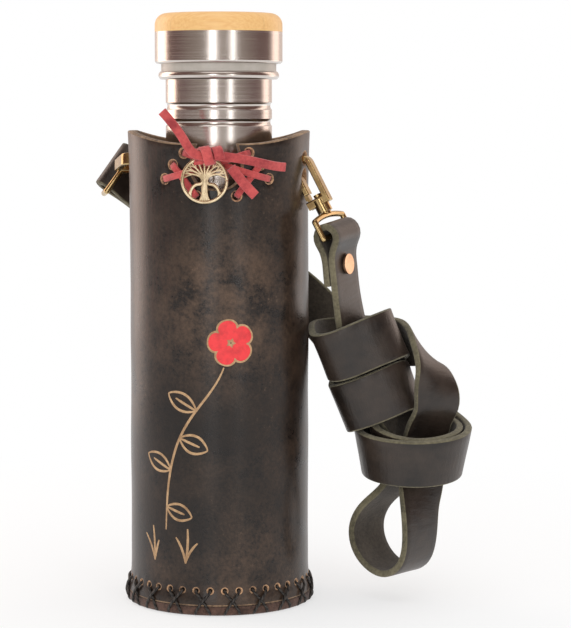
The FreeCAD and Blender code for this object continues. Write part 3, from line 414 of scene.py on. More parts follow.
@dataclass(frozen=True)
class WornMetal(Finish):
    """Plated or cast metal with darker stain in clouds and fine scuffs."""

    bright: Point
    stained: Point
    roughness: float
    stain_scale: float = 120.0
    scuff_scale: float = 900.0

    def lay(self, shader: Shader) -> None:
        """Lay the finish on a shader's surface.

        Args:
            shader: Shader of the material.
        """
        stain = shader.noise(self.stain_scale, 4.0, 0.6)
        scuffs = shader.noise(self.scuff_scale, 3.0, 0.6)
        shader.set(
            Base_Color=shader.ramp(stain, (0.30, self.stained), (0.58, self.bright)),
            Roughness=shader.spread(scuffs, 0.3, 0.7, self.roughness - 0.06, self.roughness + 0.08),
            Metallic=1.0,
        )
        shader.bump(scuffs, 0.00002, 0.25)


@dataclass(frozen=True)
class BrushedSteel(Finish):
    """Stainless steel brushed round the bottle, steel grey with a warm brown tint that is a painted
    reflection of brown surroundings.
    """

    # Both tones are steel grey with an added warm brown tint: a painted reflection of brown surroundings.
    dull: Point = (0.56, 0.50, 0.46)
    bright: Point = (0.70, 0.65, 0.61)
    brush_scale: Point = (30.0, 30.0, 5200.0)

    def lay(self, shader: Shader) -> None:
        """Lay the finish on a shader's surface.

        Args:
            shader: Shader of the material.
        """
        lines = shader.noise(1.0, 4.0, 0.7, shader.stretched(self.brush_scale))
        shader.set(
            Base_Color=shader.ramp(lines, (0.3, self.dull), (0.68, self.bright)),
            Roughness=shader.spread(lines, 0.3, 0.7, 0.17, 0.25),
            Metallic=1.0, Anisotropic=0.45,
        )
        shader.bump(lines, 0.00002, 0.2)


@dataclass(frozen=True)
class OiledBamboo(Finish):
    """Laminated bamboo with long fibres and thin glue lines."""

    pale: Point = (0.87, 0.54, 0.220)
    deep: Point = (0.78, 0.42, 0.145)
    line: Point = (0.62, 0.34, 0.12)
    fibre_scale: Point = (60.0, 1500.0, 900.0)
    stave_scale: float = 105.0

    def lay(self, shader: Shader) -> None:
        """Lay the finish on a shader's surface.

        Args:
            shader: Shader of the material.
        """
        fibres = shader.noise(1.0, 5.0, 0.7, shader.stretched(self.fibre_scale))
        colour = shader.ramp(fibres, (0.32, self.deep), (0.60, self.pale))
        staves = shader.maths("FRACT", shader.maths("MULTIPLY", shader.axis("Y"), self.stave_scale), 0.0)
        shader.set(
            Base_Color=shader.mixed(shader.spread(staves, 0.93, 0.97, 0.0, 0.3), colour, self.line),
            Roughness=0.42, Specular_IOR_Level=0.45, Coat_Weight=0.15, Coat_Roughness=0.3,
        )
        shader.bump(fibres, 0.0001, 0.35)


@dataclass(frozen=True)
class MattPlain(Finish):
    """Moulded plastic or silicone with a faint moulded grain."""

    shade: Point
    deep: Point
    roughness: float = 0.6
    cloud_scale: float = 180.0
    grain_scale: float = 1800.0

    def lay(self, shader: Shader) -> None:
        """Lay the finish on a shader's surface.

        Args:
            shader: Shader of the material.
        """
        clouds = shader.noise(self.cloud_scale, 3.0)
        shader.set(
            Base_Color=shader.ramp(clouds, (0.3, self.deep), (0.7, self.shade)),
            Roughness=self.roughness, Specular_IOR_Level=0.4,
        )
        shader.bump(shader.noise(self.grain_scale, 2.0), 0.00004, 0.3)


@dataclass(frozen=True)
class LeatherPaint(Finish):
    """Acrylic paint on leather, with the grain showing through."""

    bright: Point = (0.88, 0.048, 0.054)
    dull: Point = (0.66, 0.036, 0.042)
    cloud_scale: float = 260.0
    pebble_scale: float = 1300.0

    def lay(self, shader: Shader) -> None:
        """Lay the finish on a shader's surface.

        Args:
            shader: Shader of the material.
        """
        clouds = shader.noise(self.cloud_scale, 4.0)
        shader.set(
            Base_Color=shader.ramp(clouds, (0.30, self.dull), (0.55, self.bright)),
            Roughness=0.48, Specular_IOR_Level=0.4,
        )
        shader.bump(shader.cells(self.pebble_scale), 0.0001, 0.5)


class Finishes:
    """All finishes of the object, each made once."""

    def __init__(self) -> None:
        """Build the materials."""
        self.sleeve = RubbedAndLitLeather("rubbed_and_lit_leather").material()
        self.sleeve_flesh = RawLeather("sleeve_flesh", (0.10, 0.060, 0.034), (0.22, 0.140, 0.082)).material()
        self.sleeve_edge = RawLeather("sleeve_edge", (0.060, 0.036, 0.022), (0.40, 0.255, 0.150)).material()
        self.hole_edge = RawLeather("hole_edge", (0.060, 0.033, 0.021), (0.80, 0.470, 0.260)).material()
        self.base_edge = RawLeather("base_edge", (0.034, 0.019, 0.014), (0.135, 0.072, 0.052)).material()
        self.strap = StrapLeather("strap_leather").material()
        self.strap_flesh = RawLeather("strap_flesh", (0.036, 0.028, 0.020), (0.090, 0.071, 0.052)).material()
        self.strap_edge = RawLeather("strap_edge", (0.068, 0.059, 0.036), (0.205, 0.178, 0.110)).material()
        self.lace = DyedLace("dyed_lace").material()
        self.cord = WaxedCord("waxed_cord").material()
        self.brass = WornMetal("antique_brass", (0.54, 0.385, 0.18), (0.33, 0.215, 0.095), 0.20).material()
        self.copper = WornMetal("rivet_copper", (0.72, 0.46, 0.28), (0.44, 0.27, 0.16), 0.30).material()
        self.charm = WornMetal("charm_bronze", (0.84, 0.68, 0.45), (0.42, 0.31, 0.18), 0.32).material()
        self.steel = BrushedSteel("brushed_steel").material()
        self.bamboo = OiledBamboo("oiled_bamboo").material()
        self.plug = MattPlain("plug_plastic", (0.62, 0.61, 0.59), (0.55, 0.54, 0.52)).material()
        self.seal = MattPlain("seal_silicone", (0.54, 0.49, 0.44), (0.44, 0.40, 0.35), 0.35).material()
        self.paint = LeatherPaint("leather_paint").material()
        self.tooling = RawLeather("tooled_line", (0.30, 0.17, 0.085), (0.62, 0.40, 0.22), 500.0).material()


def turns(count: int) -> list[float]:
    """Even angles of one full turn."""
    return [math.tau * step / count for step in range(count)]


def neighbours(line: Sequence[Vector], number: int) -> tuple[Vector, Vector]:
    """Points before and after a point of a line, or the point itself at an end."""
    return line[max(0, number - 1)], line[min(len(line) - 1, number + 1)]


def bands(
    first: int, rows: int, size: int, closed: bool = True, turned: bool = False
) -> list[tuple[int, ...]]:
    """Faces between rows of points that follow each other.

    Args:
        first: Number of the first point.
        rows: Number of rows.
        size: Points in a row.
        closed: Whether each row is a ring.
        turned: Whether the faces look to the other side.

    Returns:
        Point numbers of the faces.
    """
    faces = []
    for low in range(first, first + (rows - 1) * size, size):
        for step in range(size if closed else size - 1):
            here, after = low + step, low + (step + 1) % size
            corners = (here, here + size, after + size, after)
            faces.append(corners if turned else (here, after, after + size, here + size))
    return faces


def mesh_object(
    name: str,
    points: Sequence[Sequence[float]],
    faces: Sequence[Sequence[int]],
    materials: Sequence[Material],
    slots: Sequence[int] | None = None,
    places: Sequence[Pair] | None = None,
    flat_last: int = 0,
) -> Piece:
    """Make a smooth-shaded mesh.

    Args:
        name: Name of the piece.
        points: Vertices in metres.
        faces: Vertex numbers of each face.
        materials: Materials in slot order.
        slots: Material slot of each face.
        places: UV place of each vertex.
        flat_last: Number of faces, at the end of the list, that are shaded flat.

    Returns:
        The new object, linked to the scene.
    """
    mesh = bpy.data.meshes.new(name)
    mesh.from_pydata([tuple(point) for point in points], [], [tuple(face) for face in faces])
    for material in materials:
        mesh.materials.append(material)
    if slots is not None:
        mesh.polygons.foreach_set("material_index", list(slots))
    if places is not None:
        layer = mesh.uv_layers.new(name="along")
        corners = np.array([loop.vertex_index for loop in mesh.loops])
        layer.data.foreach_set("uv", np.array(places, float)[corners].ravel())
    smooth = [number < len(faces) - flat_last for number in range(len(faces))]
    mesh.polygons.foreach_set("use_smooth", smooth)
    mesh.validate()
    mesh.update()
    piece = bpy.data.objects.new(name, mesh)
    bpy.context.scene.collection.objects.link(piece)
    return piece


def turned_object(name: str, outline: Sequence[Pair], material: Material, steps: int) -> Piece:
    """Turn an outline about the upright axis.

    Args:
        name: Name of the piece.
        outline: Radius and height of each point, in metres.
        material: Finish of the piece.
        steps: Points round the axis.

    Returns:
        The new object.
    """
    points = []
    for radius, height in outline:
        points += [(radius * math.cos(turn), radius * math.sin(turn), height) for turn in turns(steps)]
    return mesh_object(name, points, bands(0, len(outline), steps), [material])


def smooth_line(points: Sequence[Sequence[float]], count: int) -> list[Vector]:
    """Even points, as many as asked for, on a smooth curve through given points."""
    curve = Spline([list(point) for point in points])
    return [Vector(curve.at(curve.length * step / (count - 1))) for step in range(count)]


def tube_object(
    name: str,
    lines: Iterable[Sequence[Vector]],
    radius: float | Callable[[float], float],
    material: Material,
    sides: int,
    flat: float = 1.0,
    flat_axis: Point = (0.0, 1.0, 0.0),
) -> Piece:
    """Round tubes along lines, joined into one piece.

    Args:
        name: Name of the piece.
        lines: Points of each tube's centre line.
        radius: Radius, or a function of the share of the length.
        material: Finish of the piece.
        sides: Points round each tube.
        flat: Thickness of the tube along flat_axis, as a share of its width.
        flat_axis: Direction in which the tube is flattened.

    Returns:
        The new object.
    """
    points, faces, places = [], [], []
    squeeze = Vector(flat_axis).normalized()
    for line in lines:
        first = len(points)
        side = None
        travelled = 0.0
        for number, middle in enumerate(line):
            before, after = neighbours(line, number)
            travelled += (middle - before).length
            along = (after - before).normalized()
            if side is None:
                side = along.orthogonal().normalized()
            side = (side - along * side.dot(along)).normalized()
            other = along.cross(side)
            size = radius(number / (len(line) - 1)) if callable(radius) else radius
            for angle in turns(sides):
                reach = (side * math.cos(angle) + other * math.sin(angle)) * size
                reach -= squeeze * (reach.dot(squeeze) * (1.0 - flat))
                points.append(middle + reach)
                places.append((travelled, size * angle))
        faces += bands(first, len(line), sides)
        faces.append([first + step for step in reversed(range(sides))])
        faces.append([len(points) - sides + step for step in range(sides)])
    return mesh_object(name, points, faces, [material], places=places)


class Spline:
    """Smooth curve through points, measured along its chords."""

    def __init__(self, points: Sequence[Sequence[float]], places: Sequence[float] | None = None) -> None:
        """Fit the curve.

        Args:
            points: Points that it passes.
            places: Place of each point, or its distance along the chords.
        """
        self.points = np.array(points, float)
        steps = np.linalg.norm(np.diff(self.points, axis=0), axis=1)
        self.places = np.concatenate(([0.0], np.cumsum(steps))) if places is None else np.array(places, float)
        self.length = float(self.places[-1])
        self.bends = self._bends()

    def _end_slope(self, order: Sequence[int]) -> np.ndarray:
        """Slope at one end, from the curve through the points nearest to it.

        Args:
            order: Numbers of those points, from the end inwards.

        Returns:
            The slope.
        """
        places = self.places[list(order)]
        slope = np.zeros(self.points.shape[1])
        for number, index in enumerate(order):
            share = 0.0
            others = [place for other, place in enumerate(places) if other != number]
            for left_out in range(len(others)):
                product = 1.0
                for kept, place in enumerate(others):
                    product *= (places[0] - place if kept != left_out else 1.0) / (places[number] - place)
                share += product
            slope += share * self.points[index]
        return slope

    def _bends(self) -> np.ndarray:
        """Second slopes at the points, with the curve's ends aimed by their nearest points.

        Returns:
            The second slopes.
        """
        count = len(self.points)
        gaps = np.diff(self.places)
        slopes = np.diff(self.points, axis=0) / gaps[:, None]
        near = min(4, count)
        matrix = np.zeros((count, count))
        right = np.zeros_like(self.points)
        matrix[0, 0], matrix[0, 1] = 2 * gaps[0], gaps[0]
        right[0] = 6 * (slopes[0] - self._end_slope(range(near)))
        matrix[-1, -1], matrix[-1, -2] = 2 * gaps[-1], gaps[-1]
        right[-1] = 6 * (self._end_slope([count - 1 - step for step in range(near)]) - slopes[-1])
        for row in range(1, count - 1):
            matrix[row, row - 1 : row + 2] = gaps[row - 1], 2 * (gaps[row - 1] + gaps[row]), gaps[row]
            right[row] = 6 * (slopes[row] - slopes[row - 1])
        return np.linalg.solve(matrix, right)

    def at(self, place: float, slope: bool = False) -> np.ndarray:
        """Point on the curve, or its slope there.

        Args:
            place: Place along the curve.
            slope: Whether to give the slope.

        Returns:
            The point or the slope.
        """
        row = int(np.clip(np.searchsorted(self.places, place) - 1, 0, len(self.places) - 2))
        gap = self.places[row + 1] - self.places[row]
        after, before = (place - self.places[row]) / gap, (self.places[row + 1] - place) / gap
        low, high = self.points[row], self.points[row + 1]
        low_bend, high_bend = self.bends[row], self.bends[row + 1]
        if slope:
            turn = (3 * after**2 - 1) * high_bend - (3 * before**2 - 1) * low_bend
            return (high - low) / gap + turn * gap / 6
        lift = (before**3 - before) * low_bend + (after**3 - after) * high_bend
        return before * low + after * high + lift * gap**2 / 6


class Route:
    """Centre line of a flat strip and the direction of its width, from stations in millimetres."""

    def __init__(self, stations: Sequence[Station]) -> None:
        """Fit the route.

        Args:
            stations: Place of the centre and direction of the width at each station.
        """
        rows = np.array(stations, float)
        widths = rows[:, 3:6] / np.linalg.norm(rows[:, 3:6], axis=1)[:, None]
        self.centre = Spline(rows[:, 0:3])
        self.places = self.centre.places
        self.edge = Spline(rows[:, 0:3] + widths, self.places)

    def frame_at(self, place: float) -> tuple[Vector, Vector, Vector]:
        """Centre and axes of the strip at a place.

        Args:
            place: Place along the route in millimetres.

        Returns:
            Centre, then the directions across and out of the strip's face.
        """
        middle = Vector(self.centre.at(place))
        along = Vector(self.centre.at(place, slope=True)).normalized()
        side = Vector(self.edge.at(place)) - middle
        side = (side - along * side.dot(along)).normalized()
        return middle, side, along.cross(side)


@dataclass
class Strip:
    """Flat strip of leather with rounded edges, swept along a route; sizes in millimetres."""

    route: Route
    width: float
    thick: float
    edge_round: float
    step: float
    wave: float
    grain_side: int = 1
    end_row: float = 0.15
    face_spans: int = 8
    corner_turns: tuple[float, ...] = (0.0, 0.4, 0.8, 1.2)
    wave_scale: Pair = (0.06, 0.05)
    wave_layer: float = 3.0

    def outline(self) -> list[tuple[float, float, Skin]]:
        """Cross-section of the strip; its second half is its first, turned by half a turn.

        Returns:
            Place across and out of each corner, and the skin of the side that starts there.
        """
        half_w, half_t, cut = self.width / 2, self.thick / 2, self.edge_round
        corner = [(cut * (1 - math.cos(turn)), cut * (1 - math.sin(turn))) for turn in self.corner_turns]
        face, back = (Skin.GRAIN, Skin.FLESH) if self.grain_side > 0 else (Skin.FLESH, Skin.GRAIN)
        half = []
        for step in range(self.face_spans):
            half.append((-half_w + cut + (self.width - 2 * cut) * step / self.face_spans, half_t, face))
        half += [(half_w - across, half_t - out, Skin.EDGE) for across, out in reversed(corner)]
        half += [(half_w - across, -half_t + out, Skin.EDGE) for across, out in corner]
        return half + [(-across, -out, back if skin == face else skin) for across, out, skin in half]

    def build(self, name: str, start: float, end: float, materials: Sequence[Material]) -> Piece:
        """Sweep the strip between two places, and close its ends.

        Args:
            name: Name of the piece.
            start: First place along the route.
            end: Last place along the route.
            materials: Grain, flesh and edge finishes.

        Returns:
            The new object.
        """
        outline = self.outline()
        spans = max(2, int(math.ceil((end - start) / self.step)))
        inner = [start + (end - start) * number / spans for number in range(1, spans)]
        rows = [start, start + self.end_row, *inner, end - self.end_row, end]
        points, places = [], []
        along_scale, across_scale = self.wave_scale
        for place in rows:
            middle, side, out = self.route.frame_at(place)
            for across, away, _ in outline:
                spot = Vector((place * along_scale, across * across_scale, self.wave_layer))
                sway = self.wave * noise.noise(spot)
                points.append((middle + side * across + out * (away + sway)) * MM)
                places.append((place * MM, across * MM))
        size, last = len(outline), len(points) - 1
        faces = bands(0, len(rows), size, turned=True)
        faces += [tuple(range(size)), tuple(last - step for step in range(size))]
        slots = [skin.value for *_, skin in outline] * (len(rows) - 1) + [Skin.EDGE.value] * 2
        return mesh_object(name, points, faces, materials, slots, places, flat_last=2)


@dataclass
class SleeveForm:
    """Shape of the leather tube; sizes in millimetres, places given as (arc from the front, height)."""

    radius: float = 39.0
    thick: float = 3.2
    low_z: float = 4.0
    rim_z: float = 206.0
    dip_z: float = 201.0
    dip_half: float = 38.0
    flat_half: float = 12.0
    flare_low: float = 1.4
    flare_low_h: float = 14.0
    flare_top: float = 0.7
    flare_top_h: float = 30.0
    sway: float = 0.28
    sway_round: float = 1.7
    sway_up: float = 0.035
    seam_half: float = 0.2
    lace_holes: tuple[Pair, ...] = ((13.6, 197.0), (18.4, 192.0), (22.0, 186.0), (8.5, 179.0))
    base_crosses: int = 20
    base_hole_turn: float = 4.5
    base_hole_z: float = 10.6

    def arc(self, x: float) -> float:
        """Arc from the front to a place on the front half, from its sideways distance."""
        return self.radius * math.asin(x / self.radius)

    def bearing_arc(self, degrees: float) -> float:
        """Arc from the front to a bearing measured from the right-hand side."""
        turn = (degrees + 90.0 + 180.0) % 360.0 - 180.0
        return self.radius * math.radians(turn)

    def cross_bearings(self) -> list[float]:
        """Bearing of the middle of each cross of cord at the foot, in degrees."""
        return [360.0 * (cross + 0.5) / self.base_crosses for cross in range(self.base_crosses)]

    def rim(self, arc: float) -> float:
        """Height of the dipped rim.

        Args:
            arc: Arc from the front.

        Returns:
            The height.
        """
        x = abs(self.radius * math.sin(arc / self.radius))
        if x >= self.dip_half:
            return self.rim_z
        rise, run = self.rim_z - self.dip_z, self.dip_half - self.flat_half
        bend = (run**2 + rise**2) / (2 * rise)
        past = max(0.0, x - self.flat_half)
        return self.dip_z + bend - math.sqrt(bend**2 - past**2)

    def point(self, arc: float, height: float, depth: float = 0.0) -> Vector:
        """Place on the leather.

        Args:
            arc: Arc from the front.
            height: Height above the ground.
            depth: Depth below the outer face.

        Returns:
            The point in metres.
        """
        low = max(0.0, 1.0 - (height - self.low_z) / self.flare_low_h)
        top = max(0.0, 1.0 - (self.rim_z - height) / self.flare_top_h)
        angle = arc / self.radius
        round_x, round_y = math.sin(angle) * self.sway_round, math.cos(angle) * self.sway_round
        swell = noise.noise(Vector((round_x, round_y, height * self.sway_up)))
        radius = self.radius - depth + self.flare_low * low**2 + self.flare_top * top**2 + self.sway * swell
        return Vector((radius * math.sin(angle), -radius * math.cos(angle), height)) * MM


@dataclass
class Assembly:
    """Sub-assembly of the object, with the finishes that its pieces take."""

    finishes: Finishes

    def build(self) -> list[Piece]:
        """Make and dress the pieces."""
        raise NotImplementedError


@dataclass
class Sleeve(Assembly):
    """Leather tube cut from one sheet, with a flesh side and rounded raw edges, pierced for lace and cord."""

    form: SleeveForm
    opening_top_half: float = 7.0
    opening_low_half: float = 13.5
    opening_low_z: float = 182.0
    opening_corner: float = 9.0
    opening_spans: int = 8
    corner_spans: int = 12
    low_spans: int = 100
    seam_spans: int = 70
    rim_spans: int = 48
    edge_round: float = 0.7
    grid: float = 2.4
    grid_clear: float = 0.55
    # Half width, half height and points of a hole.
    lace_hole: tuple[float, float, int] = (1.8, 1.8, 14)
    base_hole: tuple[float, float, int] = (0.95, 0.95, 9)
    # Turn from the front, distance aside, height, half width, half height and points of a hole.
    hook_holes: tuple[tuple[float, float, float, float, float, int], ...] = (
        (72.0, 0.0, 194.2, 3.3, 2.7, 18), (72.0, 0.0, 184.4, 3.2, 5.2, 22),
        (-95.0, 3.4, 193.5, 2.7, 3.3, 18), (-95.0, -8.4, 191.6, 6.0, 3.3, 22),
    )

    def opening(self) -> list[Pair]:
        """Outline of the laced opening, from its top right round to its top left.

        Returns:
            Sideways distance and height of each point.
        """
        corner = Vector((self.opening_low_half, self.opening_low_z))
        top = Vector((self.opening_top_half, self.form.rim_z + 1.0))
        up = (top - corner).normalized()
        half = math.acos(-up.x) / 2
        reach = self.opening_corner / math.tan(half)
        middle = corner + (up + Vector((-1.0, 0.0))).normalized() * (self.opening_corner / math.sin(half))
        start = corner + up * reach
        first = math.atan2(start.y - middle.y, start.x - middle.x)
        last = -math.pi / 2
        share = (self.form.rim(self.opening_top_half) - corner.y) / (top.y - corner.y)
        fall = share - reach / (top - corner).length
        spans = self.opening_spans
        right = [corner.lerp(top, share - fall * step / spans) for step in range(spans)]
        for step in range(self.corner_spans + 1):
            angle = first + (last - first) * step / self.corner_spans
            right.append(middle + Vector((math.cos(angle), math.sin(angle))) * self.opening_corner)
        pairs = [(point.x, point.y) for point in right]
        return pairs + [(-x, z) for x, z in reversed(pairs)]

    def outline(self) -> list[Pair]:
        """Edge of the whole sheet, with the leather on the left as it is followed.

        Returns:
            Arc and height of each point.
        """
        form = self.form
        end = math.pi * form.radius - form.seam_half
        low = [(-end + 2 * end * step / self.low_spans, form.low_z) for step in range(self.low_spans)]
        rise = form.rim(end) - form.low_z
        right = [(end, form.low_z + rise * step / self.seam_spans) for step in range(self.seam_spans)]
        opening = [(form.arc(x), z) for x, z in self.opening()]
        start = opening[0][0]
        arcs = [end + (start - end) * step / self.rim_spans for step in range(self.rim_spans)]
        rim_right = [(arc, form.rim(arc)) for arc in arcs]
        rim_left = [(-arc, height) for arc, height in reversed(rim_right)]
        left = [(-arc, height) for arc, height in reversed(right)]
        return low + right + rim_right + opening + rim_left + left[:-1]

    def holes(self) -> list[list[Pair]]:
        """Edges of all pierced holes, followed clockwise.

        Returns:
            Arc and height of the points of each hole.
        """
        form = self.form
        ovals = []
        for x, z in form.lace_holes:
            ovals += [(sign * form.arc(x), z, *self.lace_hole) for sign in (-1, 1)]
        for middle in form.cross_bearings():
            for sign in (-1, 1):
                arc = form.bearing_arc(middle + sign * form.base_hole_turn)
                ovals.append((arc, form.base_hole_z, *self.base_hole))
        for turn, aside, *oval in self.hook_holes:
            ovals.append((math.radians(turn) * form.radius + aside, *oval))
        loops = []
        for arc, z, wide, high, count in ovals:
            loops.append([(arc + wide * math.cos(turn), z - high * math.sin(turn)) for turn in turns(count)])
        return loops

    @staticmethod
    def outward(loop: Sequence[Pair]) -> list[Vector]:
        """Directions out of the leather at each point of an edge.

        Args:
            loop: Edge with the leather on its left.

        Returns:
            The directions.
        """
        ways = []
        for number in range(len(loop)):
            before, after = Vector(loop[number - 1]), Vector(loop[(number + 1) % len(loop)])
            run = (after - before).normalized()
            ways.append(Vector((run.y, -run.x)))
        return ways

    def sheet(self, loops: Sequence[Sequence[Vector]]) -> tuple[list[Vector], list[tuple[int, ...]]]:
        """Fill the sheet between its edges with even triangles.

        Args:
            loops: Edge of the sheet, then of each hole.

        Returns:
            Points, the edges' own points first, and triangles.
        """
        points = [point for loop in loops for point in loop]
        edges, first = [], 0
        for loop in loops:
            edges += [(first + step, first + (step + 1) % len(loop)) for step in range(len(loop))]
            first += len(loop)
        fixed = np.array(points, float)
        reach = math.pi * self.form.radius
        columns, rows = int(2 * reach / self.grid), int(self.form.rim_z / self.grid)
        for row in range(rows):
            for column in range(columns + 1):
                place = (-reach + self.grid * (column + 0.5 * (row % 2)), self.grid * row)
                if np.min(np.sum((fixed - place) ** 2, axis=1)) > (self.grid * self.grid_clear) ** 2:
                    points.append(Vector(place))
        spots, _, triangles, *_ = geometry.delaunay_2d_cdt(points, edges, [], 0, 1e-5)
        nought = Vector((0, 0))
        sums = [sum((spots[corner] for corner in face), nought) / len(face) for face in triangles]
        middles = np.array(sums)
        inside = np.zeros(len(middles), bool)
        for start, end in fixed[np.array(edges)]:
            spans = (start[1] > middles[:, 1]) != (end[1] > middles[:, 1])
            if spans.any():
                slope = (end[0] - start[0]) * (middles[:, 1] - start[1]) / (end[1] - start[1] + 1e-12)
                inside ^= spans & (middles[:, 0] < start[0] + slope)
        return list(spots), [tuple(face) for face, kept in zip(triangles, inside) if kept]

    def edge_profile(self) -> list[Pair]:
        """Rounded section of a cut edge.

        Returns:
            Distance in from the edge, and depth below the outer face, of each row.
        """
        cut = self.edge_round
        bends = [math.radians(angle) for angle in (30, 60, 90)]
        profile = [(cut * (1 - math.sin(bend)), cut * (1 - math.cos(bend))) for bend in bends]
        return profile + [(inset, self.form.thick - depth) for inset, depth in reversed(profile)]

    def build(self) -> list[Piece]:
        """Make the sleeve and let it stand for its plain solid.

        Returns:
            The sleeve.
        """
        loops = [self.outline()] + self.holes()
        ways = [self.outward(loop) for loop in loops]
        inner_loops = []
        for loop, out in zip(loops, ways):
            inner_loops.append([Vector(point) - way * self.edge_round for point, way in zip(loop, out)])
        spots, triangles = self.sheet(inner_loops)
        count = len(spots)
        points = [self.form.point(spot.x, spot.y) for spot in spots]
        points += [self.form.point(spot.x, spot.y, self.form.thick) for spot in spots]
        faces = list(triangles) + [tuple(count + corner for corner in reversed(face)) for face in triangles]
        slots = [Skin.GRAIN.value] * len(triangles) + [Skin.FLESH.value] * len(triangles)
        first = 0
        for loop, out in zip(loops, ways):
            skin = Skin.PIERCED if first else Skin.EDGE
            rings = [[first + step for step in range(len(loop))]]
            for inset, depth in self.edge_profile():
                rings.append([len(points) + step for step in range(len(loop))])
                for point, way in zip(loop, out):
                    spot = Vector(point) - way * inset
                    points.append(self.form.point(spot.x, spot.y, depth))
            rings.append([count + first + step for step in range(len(loop))])
            for high, low in zip(rings, rings[1:]):
                for step in range(len(loop)):
                    after = (step + 1) % len(loop)
                    faces.append((high[step], low[step], low[after], high[after]))
                    slots.append(skin.value)
            first += len(loop)
        finishes = self.finishes
        skins = [finishes.sleeve, finishes.sleeve_flesh, finishes.sleeve_edge, finishes.hole_edge]
        piece = mesh_object("sleeve_leather", points, faces, skins, slots)
        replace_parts(piece, "sleeve")
        return [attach(piece, Body.CARRIER.value)]


